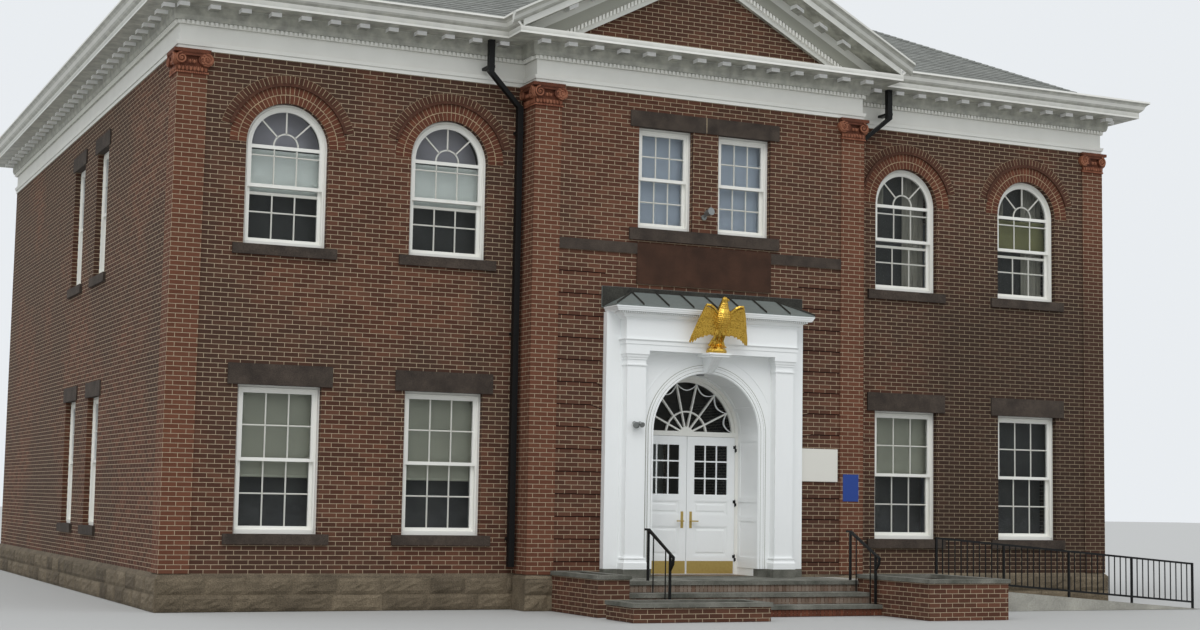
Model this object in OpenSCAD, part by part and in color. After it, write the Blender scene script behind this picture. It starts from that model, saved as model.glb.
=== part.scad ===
// Two-storey brick town hall: hipped roof, projecting centre bay with a pediment,
// arched upper windows, and a white wooden portal over raised entrance works.
// Lengths are in millimetres. The wing fronts lie at y = 0 before the part is centred.

/* [Main block] */
// Half the width of the brick front
half_w = 8290; // [7800:10:9400]
// Depth of the main block, front face to rear face
depth = 15200; // [13000:50:17000]
// Thickness of the brick walls
wall_t = 330; // [250:5:400]
// Height of the underside of the architrave above the ground
wall_top = 7975; // [7900:5:8200]
// Underside of the eaves soffit
soffit_z = 8600; // [8560:5:8700]
// Depth of the frieze boards let into the wall face
frieze_t = 45; // [30:1:60]

/* [Centre bay] */
// Half the width of the centre bay
bay_half = 2935; // [2800:5:3100]
// Projection of the centre bay in front of the wings
bay_proj = 480; // [300:5:700]
// Width of each corner pilaster
pilaster_w = 420; // [380:5:460]
// Projection of the pilasters from the wall face
pilaster_p = 20; // [10:1:40]
// Underside of the capitals
capital_z = 7625; // [7550:5:7650]
// Width of the downspouts
pipe_w = 90; // [70:1:110]
// Gap between the downspouts and the wall
pipe_gap = 75; // [70:1:90]

/* [Base and floors] */
// Height of the stone base
base_h = 535; // [480:5:580]
// Projection of the stone base
base_p = 55; // [30:1:80]
// Level of the ground floor and the door sill
floor_z = 510; // [500:5:560]
// Thickness of the floors
floor_t = 240; // [180:5:300]
// Level of the upper floor
upper_floor_z = 4300; // [4100:10:4450]

/* [Windows] */
// Distance from the centre line to the inner wing windows
window_x1 = 4130; // [4050:5:4250]
// Distance from the outer wing windows to the corner of the building
window_side = 1645; // [1550:5:1750]
// Width of the wing window openings
window_w = 1240; // [1100:5:1300]
// Bottom of the lower window openings
lower_z = 1095; // [1000:5:1200]
// Head of the lower window openings
lower_head = 3220; // [3100:5:3300]
// Bottom of the upper window openings
upper_z = 5245; // [5150:5:5400]
// Height where the arched heads spring
spring_z = 6720; // [6600:5:6750]
// Depth of the brick reveal in front of the window frames
reveal = 100; // [60:5:140]
// Width of the window frame seen from the front
frame_w = 60; // [40:2:80]
// Depth of the window frame
frame_d = 110; // [80:5:140]
// Width of the sash members
sash_w = 50; // [40:2:60]
// Thickness of the sashes
sash_t = 45; // [35:1:50]
// Thickness of the glass
glass_t = 6; // [4:1:10]
// Half the distance between the two centre bay windows
bay_window_x = 705; // [680:5:760]
// Width of the centre bay windows
bay_window_w = 950; // [850:5:1000]
// Bottom of the centre bay windows
bay_window_z = 5870; // [5850:5:5950]
// Head of the centre bay windows
bay_window_head = 7465; // [7350:5:7500]
// Width of the narrow side windows
side_window_w = 950; // [800:5:1100]
// Distance of the first side window from the wing front
side_window_y1 = 5430; // [5000:10:5800]
// Distance of the second side window from the wing front
side_window_y2 = 7540; // [7100:10:8000]
// Height of the lintels of the wing windows
lintel_h = 300; // [250:5:340]
// Height of the lintels of the centre bay windows
bay_lintel_h = 250; // [200:5:280]
// Bearing of a lintel beside its opening
lintel_side = 155; // [100:5:200]
// Height of the sills
sill_h = 150; // [120:5:180]
// Projection of lintels and sills from the wall
stone_p = 25; // [15:1:40]
// Radial distance from an arched opening to its label moulding
label_gap = 250; // [230:5:280]
// Width of the label moulding
label_w = 45; // [35:1:60]
// Projection of the label moulding
label_p = 35; // [20:1:50]

/* [Band and panel] */
// Bottom of the stone string band
band_z = 5465; // [5400:5:5500]
// Height of the stone string band
band_h = 165; // [120:5:200]
// Half the width of the plain stone panel over the portal
panel_half = 1195; // [1150:5:1250]
// Bottom of the plain stone panel
panel_z = 4995; // [4980:5:5050]
// Height of the plain stone panel
panel_h = 645; // [600:5:680]
// Distance between the recessed brick joints of the centre bay
joint_pitch = 338.5; // [300:0.5:380]
// Height of a recessed brick joint
joint_h = 15; // [8:1:25]
// Depth of a recessed brick joint
joint_d = 14; // [6:1:25]
// Height of the point that the joints beside the portal point to
joint_centre_z = 2400; // [2300:10:2600]
// Reach of those slanting joints from the centre line at that height
joint_bend_x = 2075; // [1950:5:2150]

/* [Cornice] */
// Height of the architrave
architrave_h = 115; // [90:5:130]
// Height of the frieze's upper edge
frieze_z = 8335; // [8300:5:8360]
// Projection of the bed mouldings
bed_o = 95; // [80:1:120]
// Projection of the corona from the wall
corona_o = 480; // [430:5:560]
// Height of the corona face
corona_h = 100; // [80:5:120]
// Projection of the gutter lip from the wall
gutter_o = 620; // [590:5:700]
// Height of the gutter above the corona
gutter_h = 185; // [150:5:220]
// Distance between modillions
modillion_pitch = 446; // [400:2:480]
// Width of a modillion
modillion_w = 150; // [120:5:180]
// Height of a modillion
modillion_h = 60; // [40:2:80]
// Projection of a modillion
modillion_o = 260; // [200:5:320]

/* [Roofs] */
// Rise of every roof plane for each unit of run
roof_slope = 0.532; // [0.48:0.002:0.58]
// Thickness of the roof covering and deck, measured upright
roof_t = 60; // [50:5:100]
// Projection of the roof's edge from the wall
roof_o = 400; // [360:5:440]
// Height of the roof's edge above the soffit
roof_edge_h = 160; // [140:5:200]
// Upright depth of the raking cornice
rake_h = 790; // [740:5:840]

/* [Portal] */
// Half the width of the portal's front
portal_half = 1505; // [1450:5:1550]
// Projection of the portal's pilasters from the centre bay
portal_p = 330; // [280:5:380]
// Half the width of the portal's side strips
strip_half = 1740; // [1700:5:1800]
// Projection of the side strips
strip_p = 120; // [80:5:160]
// Projection of the arched panel
arch_p = 130; // [100:5:180]
// Radius of the portal's arch
arch_r = 935; // [900:5:980]
// Height where the portal's arch springs
arch_z = 2720; // [2700:5:2800]
// Width of the portal's pilasters
portal_pilaster_w = 400; // [360:5:440]
// Set-back of the pilasters' shafts from their bases and caps
shaft_inset = 40; // [30:1:50]
// Underside of the portal's entablature
entablature_z = 3945; // [3900:5:4000]
// Top of the portal's frieze
frieze_top = 4525; // [4450:5:4560]
// Height of the portal's cornice
portal_cornice_h = 75; // [60:5:90]
// Projection of the portal's cornice
portal_cornice_o = 150; // [120:5:180]
// Height of the hood above the portal's cornice
hood_h = 270; // [220:5:320]
// Height of the stone plinth blocks
plinth_h = 130; // [110:5:160]
// Projection of the eagle's shelf from the arched panel
perch_d = 430; // [400:5:450]
// Half the width of the eagle's shelf
perch_half = 190; // [170:5:220]
// Height of the gilded eagle
eagle_h = 860; // [700:10:900]
// Half the span of the eagle's wings
wing_half = 500; // [400:10:560]
// Distance from the face of the centre bay back to the doors
door_back = 510; // [450:5:560]
// Thickness of the portal's lining
lining_t = 45; // [30:5:60]

/* [Doors] */
// Width of one door leaf
leaf_w = 865; // [800:5:880]
// Height of the door leaves
leaf_h = 2170; // [2100:5:2200]
// Thickness of the door leaves
leaf_t = 45; // [40:1:60]
// Gap round the door leaves
leaf_gap = 5; // [5:1:8]
// Gap between the two door leaves
meeting_gap = 8; // [8:1:12]
// Width of a door's stiles
stile_w = 125; // [100:5:150]
// Bottom of the door's lights
light_z = 1760; // [1700:5:1800]
// Height of the door's lights
light_h = 800; // [700:5:850]

/* [Entrance works] */
// Depth of the landing in front of the centre bay
landing_d = 1270; // [1100:10:1400]
// Half the width of the landing and steps
landing_half = 2050; // [1950:10:2150]
// Height of one riser
riser_h = 165; // [150:1:170]
// Depth of one tread
tread_d = 330; // [300:5:360]
// Thickness of the stone treads and copings
slab_t = 60; // [50:1:80]
// Overhang of the stone treads and copings
nosing = 25; // [10:1:40]
// Thickness of the planter walls
planter_t = 110; // [90:5:140]
// Height of the upper planters
planter_h = 595; // [540:5:620]
// Depth of the low front planter
low_planter_d = 900; // [700:10:1000]
// Height of the low front planter
low_planter_h = 265; // [200:5:320]
// Depth of the planter at the right
right_planter_d = 1900; // [1700:10:2100]
// Width of the planter at the right
right_planter_w = 1400; // [1200:10:1600]
// Width of the planters at the left
side_planter_w = 500; // [420:10:560]
// Reach of the upper left planter beyond the landing
side_planter_d = 400; // [300:10:500]
// Distance of the low planter's right end from the centre line
low_planter_x = 400; // [300:10:600]
// Depth of the soil below the coping
soil_drop = 200; // [120:10:220]
// Height of the railings
rail_h = 760; // [700:10:900]
// Thickness of the rails and posts
rail_t = 32; // [25:1:40]
// Thickness of the thin upright bars
bar_t = 14; // [10:1:18]
// Distance between the thin upright bars
bar_gap = 122; // [100:1:150]
// Distance between the posts
post_gap = 1300; // [1000:10:1800]
// Distance of the left step railing from the centre line
step_rail_x = 1500; // [1300:10:1700]

/* [Hidden] */
$fn = 48;
ALL_STRETCHES = [[7, 0], [0, 1], [1, 2], [2, 3], [3, 4], [4, 5], [5, 6], [6, 7]];
front_y = -bay_proj;
door_y = front_y + door_back;
door_frame_d = 110;
frame_back = door_y + door_frame_d;
corona_top = soffit_z + corona_h;
gutter_top = corona_top + gutter_h;
roof_edge_z = soffit_z + roof_edge_h;
main_edge = roof_edge_z - roof_t;
crown_apex = gutter_top + (bay_half + gutter_o) * roof_slope;
bay_edge = crown_apex - roof_t - (bay_half + roof_o) * roof_slope;
rake_x = bay_half + min(corona_o, bay_proj - frieze_t) - 5;
rake_bed = 80;
seat_gap = 0.5;
window_x2 = half_w - window_side;
side_y = [side_window_y1, side_window_y2];
rear_x = [-window_x2, -window_x1 / 2, window_x1 / 2, window_x2];
window_h = lower_head - lower_z;
upper_head = upper_z + window_h;
arched_meet = (spring_z - upper_z) / 2 + 140;
sash_y = reveal + 15;
pane_y = sash_y + (sash_t - glass_t) / 2;
stone_d = reveal;
bay_sill_h = 185;
bay_stone_x = bay_window_x + bay_window_w / 2 + lintel_side;
base_slope_h = 60;
door_half = arch_r + lining_t;
transom_z = floor_z + leaf_h + 2 * leaf_gap;
transom_top = transom_z + 75;
fan_y = door_y + 30;
hood_x = strip_half + 5;
cyma_steps = 6;
cyma_swell = 0.1;
gutter_lip = 30;
elbow_x = 3600;
elbow_y = 250;
wing_top = 745;
wing_tip = 118;
curl = 45;
capital_o = pilaster_p + 45;
abacus_h = 50;
scroll_r = 95;
scroll_turns = 2;
scroll_steps = 16;
scroll_pitch = 0.38;
pivot_x = leaf_w + leaf_gap;
knuckle_r = 10;
knuckle_h = 45;
hinge_w = 32;
pivot_y = door_y - knuckle_r;
landing_z = 3 * riser_h;
plinth_top = landing_z + plinth_h;
steps_y = front_y - landing_d;
planter_front = steps_y - right_planter_d;
low_front = steps_y - 2 * tread_d - low_planter_d;
ramp_end = half_w + gutter_o;
ramp_top_x = landing_half + 350;
mid_y = (depth + gutter_o + planter_front - nosing) / 2;

// Outline of the brick faces, moved outwards by o
function outline(o) = [
    [-half_w - o, depth + o], [-half_w - o, -o], [-bay_half - o, -o], [-bay_half - o, front_y - o],
    [bay_half + o, front_y - o], [bay_half + o, -o], [half_w + o, -o], [half_w + o, depth + o]];

module slab(x0, x1, y0, y1, z0, z1) {
    translate([x0, y0, z0])
        cube([x1 - x0, y1 - y0, z1 - z0]);
}

// Slab between -x and x
module centred(x, y0, y1, z0, z1) {
    slab(-x, x, y0, y1, z0, z1);
}

module both_sides() {
    children();
    mirror([1, 0, 0]) children();
}

// Prism along Y from an outline in the X and Z plane
module prism_y(points, y0, y1) {
    translate([0, y1, 0])
        rotate([90, 0, 0])
            linear_extrude(y1 - y0)
                polygon(points);
}

// Prism along X from an outline in the Y and Z plane
module prism_x(points, x0, x1) {
    translate([x0, 0, 0])
        rotate([90, 0, 90])
            linear_extrude(x1 - x0)
                polygon(points);
}

// One straight stretch of a moulding between outline corners i and j, mitred at both ends.
// The profile lists [projection, height] points.
module stretch(profile, i, j) {
    inner = min([for (p = profile) p[0]]);
    outer = max([for (p = profile) p[0]]);
    a = outline(inner);
    b = outline(outer);
    corner = outline(0);
    along_x = corner[i][1] == corner[j][1];
    side = along_x ? (corner[i][1] > depth / 2 ? 1 : -1) : (corner[i][0] > 0 ? 1 : -1);
    line = along_x ? corner[i][1] : corner[i][0];
    shape = [for (p = profile) [line + side * p[0], p[1]]];
    spans = [a[i], b[i], a[j], b[j]];
    low = min([for (s = spans) s[along_x ? 0 : 1]]) - 1;
    high = max([for (s = spans) s[along_x ? 0 : 1]]) + 1;
    floor_level = min([for (p = profile) p[1]]) - 1;
    top_level = max([for (p = profile) p[1]]) + 1;
    intersection() {
        if (along_x)
            prism_x(shape, low, high);
        else
            prism_y(shape, low, high);
        translate([0, 0, floor_level])
            linear_extrude(top_level - floor_level)
                polygon([a[i], b[i], b[j], a[j]]);
    }
}

// Points of an S-shaped moulding that rises from [o0, z0] to [o1, z1], full below and hollow above
function cyma(o0, z0, o1, z1) = [for (i = [0:cyma_steps]) let (t = i / cyma_steps)
    [o0 + (o1 - o0) * (t + cyma_swell * sin(360 * t)), z0 + (z1 - z0) * t]];

// Block between x0 and x1 with its front at y0 and its back at y1, with mouldings that
// return round its two sides. The profile lists [projection, height] points from the bottom
// up, and the side projections are side_share of the front's.
module moulded_block(x0, x1, y0, y1, profile, side_share = 1) {
    last = len(profile) - 1;
    front = [for (p = profile) [y0 - p[0], p[1]]];
    left = [for (p = profile) [x0 - p[0] * side_share, p[1]]];
    right = [for (i = [last:-1:0]) [x1 + profile[i][0] * side_share, profile[i][1]]];
    reach = max([for (p = profile) p[0]]) * side_share + 1;
    intersection() {
        prism_x(concat(front, [[y1, profile[last][1]], [y1, profile[0][1]]]), x0 - reach, x1 + reach);
        prism_y(concat(left, right), y0 - reach, y1);
    }
}

// Closed skin over rings of points that all turn the same way, the first ring lowest
module loft(rings) {
    n = len(rings[0]);
    last = len(rings) - 1;
    polyhedron(
        points = [for (ring = rings, p = ring) p],
        faces = concat([[for (i = [0:n - 1]) i]], [[for (i = [n - 1:-1:0]) last * n + i]],
            [for (r = [0:last - 1], i = [0:n - 1]) let (a = r * n + i, b = r * n + (i + 1) % n)
                each [[a, a + n, b + n], [a, b + n, b]]]));
}

// Ring of n points round [x, y] at height z
function level_ring(x, y, z, rx, ry, n) =
    [for (i = [0:n - 1]) [x + rx * cos(360 * i / n), y + ry * sin(360 * i / n), z]];

function between(a, b, t) = a + (b - a) * t;

// Point at t on the curve from a to c that bends towards b
function bend(a, b, c, t) = between(between(a, b, t), between(b, c, t), t);

module arch_area(w, z0, z_spring) {
    translate([-w / 2, z0])
        square([w, z_spring - z0]);
    translate([0, z_spring])
        circle(d = w, $fn = 72);
}

// Opening cut through a wall that faces -Y or +Y
module arch_cut(x, w, z0, z_spring, y0, y1) {
    translate([x, y1, 0])
        rotate([90, 0, 0])
            linear_extrude(y1 - y0)
                arch_area(w, z0, z_spring);
}

// Brick wall of a wing's lower storey, at the left: piers, with spandrels jointed in between them
module lower_wing_wall() {
    half = window_w / 2;
    edges = [half_w, window_x2 + half, window_x2 - half, window_x1 + half, window_x1 - half, bay_half];
    difference() {
        union() {
            for (i = [0, 2, 4])
                slab(-edges[i], -edges[i + 1], 0, wall_t, base_h, upper_floor_z);
            for (i = [1, 3], z = [[base_h, lower_z], [lower_head, upper_floor_z]])
                slab(-edges[i] + seat_gap, -edges[i + 1] - seat_gap, 0, wall_t, z[0], z[1]);
        }
        for (x = [window_x1, window_x2], z = [[lower_z - sill_h, lower_z], [lower_head, lower_head + lintel_h]])
            slab(-x - half - lintel_side, -x + half + lintel_side, -1, stone_d, z[0], z[1]);
    }
}

// Brick wall of a wing's upper storey, at the left
module upper_wing_wall() {
    difference() {
        union() {
            slab(-half_w, -bay_half, 0, wall_t, upper_floor_z, wall_top);
            slab(-half_w + frieze_t, -bay_half + frieze_t, frieze_t, wall_t, wall_top, soffit_z);
        }
        for (x = [window_x1, window_x2]) {
            slab(-x - window_w / 2 - lintel_side, -x + window_w / 2 + lintel_side,
                -1, stone_d, upper_z - sill_h, upper_z);
            arch_cut(-x, window_w, upper_z, spring_z, -1, wall_t + 1);
        }
    }
}

module front_wall_left() {
    color("firebrick") lower_wing_wall();
}

module front_wall_right() {
    color("firebrick") mirror([1, 0, 0]) lower_wing_wall();
}

module upper_front_wall_left() {
    color("firebrick") upper_wing_wall();
}

module upper_front_wall_right() {
    color("firebrick") mirror([1, 0, 0]) upper_wing_wall();
}

// Side wall between the front and rear walls, at the left
module side_wall() {
    difference() {
        union() {
            slab(-half_w, -half_w + wall_t, wall_t, depth - wall_t, base_h, wall_top);
            slab(-half_w + frieze_t, -half_w + wall_t, wall_t, depth - wall_t, wall_top, soffit_z);
        }
        for (y = side_y) {
            for (z = [[lower_z, lower_head], [upper_z, upper_head]])
                slab(-half_w - 1, -half_w + wall_t + 1,
                    y - side_window_w / 2, y + side_window_w / 2, z[0], z[1]);
            for (z = [lower_z, upper_z])
                slab(-half_w - 1, -half_w + stone_d, y - side_window_w / 2 - lintel_side,
                    y + side_window_w / 2 + lintel_side, z - sill_h, z);
            for (z = [lower_head, upper_head])
                slab(-half_w - 1, -half_w + stone_d, y - side_window_w / 2 - lintel_side,
                    y + side_window_w / 2 + lintel_side, z, z + bay_lintel_h);
        }
    }
}

module left_side_wall() {
    color("firebrick") side_wall();
}

module right_side_wall() {
    color("firebrick") mirror([1, 0, 0]) side_wall();
}

module rear_wall() {
    color("firebrick")
        difference() {
            union() {
                centred(half_w, depth - wall_t, depth, base_h, wall_top);
                centred(half_w - frieze_t, depth - wall_t, depth - frieze_t, wall_top, soffit_z);
            }
            for (x = rear_x) {
                for (z = [[lower_z, lower_head], [upper_z, upper_head]])
                    slab(x - window_w / 2, x + window_w / 2, depth - wall_t - 1, depth + 1, z[0], z[1]);
                for (z = [lower_z, upper_z])
                    slab(x - window_w / 2 - lintel_side, x + window_w / 2 + lintel_side,
                        depth - stone_d, depth + 1, z - sill_h, z);
                for (z = [lower_head, upper_head])
                    slab(x - window_w / 2 - lintel_side, x + window_w / 2 + lintel_side,
                        depth - stone_d, depth + 1, z, z + bay_lintel_h);
            }
        }
}

// Recessed joint at height z on the left of the centre bay's front. Beside the portal it slants
// down as the joints of a wide brick arch do.
module recessed_joint(z) {
    rise = z - joint_centre_z;
    bend_x = joint_bend_x - 0.22 * rise;
    end_x = strip_half - 20;
    drop = rise > joint_h && bend_x > end_x ? (bend_x - end_x) * rise / bend_x : 0;
    knee_x = max(bend_x, end_x + 1);
    h = joint_h / 2;
    prism_y([[-bay_half + pilaster_w, z - h], [-knee_x, z - h], [-end_x, z - drop - h],
        [-end_x, z - drop + h], [-knee_x, z + h], [-bay_half + pilaster_w, z + h]],
        front_y - 1, front_y + joint_d);
}

// Recessed joints on both sides of the bay, from one height up to another
module recessed_joints(low, high) {
    count = floor((band_z - base_h) / joint_pitch);
    both_sides()
        for (i = [1:count])
            if (band_z - i * joint_pitch > low && band_z - i * joint_pitch < high)
                recessed_joint(band_z - i * joint_pitch);
}

// Half of the centre bay's front beside the doorway, with its short return
module bay_pier() {
    difference() {
        union() {
            slab(-bay_half, -door_half, front_y, frame_back, base_h, entablature_z);
            slab(-bay_half, -bay_half + wall_t, front_y, wall_t, base_h, entablature_z);
        }
        recessed_joints(base_h, entablature_z);
    }
}

module bay_pier_left() {
    color("firebrick") bay_pier();
}

module bay_pier_right() {
    color("firebrick") mirror([1, 0, 0]) bay_pier();
}

// Masonry over the doorway, between the piers
module door_arch_masonry() {
    color("firebrick")
        difference() {
            centred(door_half, front_y, frame_back, arch_z, entablature_z);
            arch_cut(0, 2 * door_half, arch_z - 1, arch_z, front_y - 1, frame_back + 1);
        }
}

// Centre bay above the portal, up to the gable
module bay_upper_wall() {
    x_in = bay_half - wall_t;
    color("firebrick")
        difference() {
            union() {
                centred(bay_half, front_y, wall_t, entablature_z, wall_top);
                centred(bay_half - frieze_t, front_y + frieze_t, wall_t, wall_top, soffit_z);
                gable_wall();
            }
            centred(x_in, front_y + wall_t, wall_t + 1, entablature_z - 1, crown_apex);
            recessed_joints(entablature_z + joint_h, band_z);
            both_sides() {
                slab(bay_window_x - bay_window_w / 2, bay_window_x + bay_window_w / 2,
                    front_y - 1, front_y + wall_t + 1, bay_window_z, bay_window_head);
                slab(-1, bay_stone_x, front_y - 1, front_y + stone_d,
                    bay_window_head, bay_window_head + bay_lintel_h);
                slab(-1, bay_stone_x, front_y - 1, front_y + stone_d,
                    bay_window_z - bay_sill_h, bay_window_z);
            }
        }
}

// Triangular wall behind the pediment, under the bay's roof
module gable_wall() {
    apex = crown_apex - roof_t - seat_gap;
    reach = (apex - soffit_z) / roof_slope;
    intersection() {
        prism_y([[-reach, soffit_z], [reach, soffit_z], [0, apex]],
            front_y + frieze_t, front_y + wall_t);
        centred(bay_half - frieze_t, front_y, front_y + wall_t, soffit_z - 1, crown_apex);
    }
}

// Stone base with a sloped top course, cut for the landing and the doorway
module stone_base() {
    flat_h = base_h - base_slope_h;
    color("tan")
        difference() {
            for (s = ALL_STRETCHES)
                stretch([[-wall_t, 0], [base_p, 0], [base_p, flat_h], [0, base_h], [-wall_t, base_h]],
                    s[0], s[1]);
            centred(landing_half, front_y - base_p - 1, front_y, -1, base_h + 1);
            centred(door_half, front_y - 1, front_y + wall_t + 1, floor_z, base_h + 1);
        }
}

module floor_plate(z) {
    translate([0, 0, z - floor_t])
        linear_extrude(floor_t)
            polygon(outline(-wall_t));
}

module ground_floor() {
    color("burlywood") floor_plate(floor_z);
}

module upper_floor() {
    color("burlywood") floor_plate(upper_floor_z);
}

// Brick pilasters at the corners of the bay and of the wings
module corner_pilasters() {
    p = pilaster_p;
    w = pilaster_w;
    color("firebrick")
        both_sides()
            translate([0, 0, base_h])
                linear_extrude(capital_z - base_h) {
                    polygon([[-bay_half - p, 0], [-bay_half - p, front_y - p], [-bay_half + w, front_y - p],
                        [-bay_half + w, front_y], [-bay_half, front_y], [-bay_half, 0]]);
                    polygon([[-half_w + w, 0], [-half_w + w, -p], [-half_w - p, -p], [-half_w - p, w],
                        [-half_w, w], [-half_w, 0]]);
                }
}

// Edge point of an Ionic scroll that winds inwards from its top, `turn` turns along
function scroll_point(r, turn, inset) =
    let (angle = 90 + 360 * turn, reach = r * (1 - turn * scroll_pitch) - inset)
    [reach * cos(angle), reach * sin(angle)];

module scroll_disc(r) {
    polygon([for (i = [0:scroll_steps]) scroll_point(r, i / scroll_steps, 0)]);
}

// Raised spiral band with its eye
module scroll_band(r) {
    last = scroll_turns * scroll_steps;
    width = 0.14 * r;
    polygon(concat([for (i = [0:last]) scroll_point(r, i / scroll_steps, 0)],
        [for (i = [last:-1:0]) scroll_point(r, i / scroll_steps, width)]));
    circle(r = 0.16 * r, $fn = 8);
}

// Children at the scroll centres of a capital's face that reaches from x0 to x1
module at_scrolls(x0, x1, z) {
    translate([x0, z]) children();
    translate([x1, z]) mirror([1, 0]) children();
}

// Scrolls and the channel between them, on the side of a capital that faces -Y
module capital_face(x0, x1) {
    r = scroll_r;
    z = wall_top - capital_z - abacus_h - r;
    relief = 10;
    face_plate(-capital_o, -pilaster_p) {
        at_scrolls(x0 + r, x1 - r, z) scroll_disc(r);
        translate([x0 + r, z + r / 2]) square([x1 - x0 - 2 * r, r / 2]);
    }
    face_plate(-capital_o - relief, -capital_o) {
        at_scrolls(x0 + r, x1 - r, z) scroll_band(r);
        translate([x0 + r, z + r - relief]) square([x1 - x0 - 2 * r, relief]);
    }
}

// Ionic capital round the corner of a pilaster whose return is `back` deep
module corner_capital(x0, y0, back) {
    h = wall_top - capital_z;
    neck_o = pilaster_p + 12;
    neck_h = 30;
    lip = 15;
    right = pilaster_w + lip;
    translate([x0, y0, capital_z])
        difference() {
            union() {
                slab(-neck_o, pilaster_w + neck_o - pilaster_p, -neck_o, back, 0, neck_h);
                slab(-pilaster_p, pilaster_w, -pilaster_p, back, neck_h, h);
                slab(-capital_o - lip, right + lip, -capital_o - lip, back, h - abacus_h, h);
                capital_face(-capital_o, right);
                rotate([0, 0, -90]) capital_face(-back, capital_o);
            }
            slab(0, right + lip + 1, 0, back + 1, -1, h + 1);
        }
}

module capitals() {
    color("sienna")
        both_sides() {
            corner_capital(-bay_half, front_y, bay_proj);
            corner_capital(-half_w, 0, pilaster_w);
        }
}

module window_lintels() {
    wide = window_w + 2 * lintel_side;
    color("rosybrown") {
        both_sides() {
            for (x = [window_x1, window_x2])
                slab(-x - wide / 2, -x + wide / 2, -stone_p, stone_d, lower_head, lower_head + lintel_h);
            for (y = side_y, z = [lower_head, upper_head])
                slab(-half_w - stone_p, -half_w + stone_d, y - side_window_w / 2 - lintel_side,
                    y + side_window_w / 2 + lintel_side, z, z + bay_lintel_h);
        }
        centred(bay_stone_x, front_y - stone_p, front_y + stone_d,
            bay_window_head, bay_window_head + bay_lintel_h);
        for (x = rear_x, z = [lower_head, upper_head])
            slab(x - wide / 2, x + wide / 2, depth - stone_d, depth + stone_p, z, z + bay_lintel_h);
    }
}

module window_sills() {
    wide = window_w + 2 * lintel_side;
    out = stone_p + 20;
    color("rosybrown") {
        both_sides() {
            for (x = [window_x1, window_x2], z = [lower_z, upper_z])
                slab(-x - wide / 2, -x + wide / 2, -out, stone_d, z - sill_h, z);
            for (y = side_y, z = [lower_z, upper_z])
                slab(-half_w - out, -half_w + stone_d, y - side_window_w / 2 - lintel_side,
                    y + side_window_w / 2 + lintel_side, z - sill_h, z);
        }
        centred(bay_stone_x, front_y - out, front_y + stone_d, bay_window_z - bay_sill_h, bay_window_z);
        for (x = rear_x, z = [lower_z, upper_z])
            slab(x - wide / 2, x + wide / 2, depth - stone_d, depth + out, z - sill_h, z);
    }
}

// Thin projecting moulding that follows each arched head
module arch_labels() {
    r = window_w / 2 + label_gap;
    foot = 250;
    color("maroon")
        both_sides()
            for (x = [window_x1, window_x2])
                translate([-x, 0, spring_z])
                    rotate([90, 0, 0])
                        linear_extrude(label_p)
                            difference() {
                                circle(r = r + label_w, $fn = 96);
                                circle(r = r, $fn = 96);
                                translate([-2 * r, -2 * r + foot]) square([4 * r, 2 * r]);
                            }
}

module string_band() {
    color("gainsboro")
        both_sides()
            slab(-bay_half + pilaster_w, -panel_half, front_y - stone_p, front_y, band_z, band_z + band_h);
}

module name_panel() {
    color("saddlebrown")
        centred(panel_half, front_y - stone_p, front_y, panel_z, panel_z + panel_h);
}

// Architrave and frieze boards let into the wall faces, with the bed mouldings above
module entablature() {
    step_h = 60;
    profile = [[-frieze_t, wall_top], [15, wall_top], [15, wall_top + step_h], [30, wall_top + step_h],
        [45, wall_top + architrave_h], [0, wall_top + architrave_h], [0, frieze_z], [35, frieze_z],
        [35, frieze_z + step_h], [bed_o - 20, frieze_z + step_h], [bed_o, frieze_z + 2 * step_h],
        [bed_o, soffit_z], [-frieze_t, soffit_z]];
    color("white")
        for (s = ALL_STRETCHES)
            stretch(profile, s[0], s[1]);
}

// Soffit, corona, gutter and the solid eaves under a roof whose underside starts at edge_z
function eaves(edge_z) = concat([[-wall_t, soffit_z], [corona_o, soffit_z]],
    cyma(corona_o, corona_top, gutter_o, gutter_top - gutter_lip),
    [[gutter_o, gutter_top], [gutter_o - 20, gutter_top],
    [corona_o - 10, corona_top + 25], [roof_o, corona_top + 25], [roof_o, edge_z],
    [-wall_t, edge_z + (roof_o + wall_t) * roof_slope]]);

module front_eaves() {
    color("white") {
        stretch(eaves(main_edge), 1, 2);
        stretch(eaves(main_edge), 5, 6);
    }
}

module side_eaves() {
    color("white") {
        stretch(eaves(main_edge), 0, 1);
        stretch(eaves(main_edge), 6, 7);
    }
}

module rear_eaves() {
    color("white") stretch(eaves(main_edge), 7, 0);
}

// Flat cornice across the bay and its guttered returns
module bay_cornice() {
    color("white") {
        difference() {
            union() {
                stretch(eaves(bay_edge), 2, 3);
                stretch(eaves(bay_edge), 4, 5);
            }
            centred(bay_half - frieze_t, front_y, front_y + wall_t, soffit_z - 1, crown_apex);
            centred(rake_x, front_y - corona_o - 1, front_y + frieze_t, corona_top, crown_apex);
            centred(bay_half + gutter_o + 1, front_y - gutter_o - 1, front_y - corona_o,
                corona_top, crown_apex);
        }
        stretch([[-frieze_t, soffit_z], [corona_o, soffit_z], [corona_o, corona_top], [-frieze_t, corona_top]],
            3, 4);
    }
}

// Block under the soffit that faces -Y, centred at x in front of the face at y
module modillion(x, y) {
    slab(x - modillion_w / 2, x + modillion_w / 2, y - modillion_o, y - bed_o,
        soffit_z - modillion_h, soffit_z);
}

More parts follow.
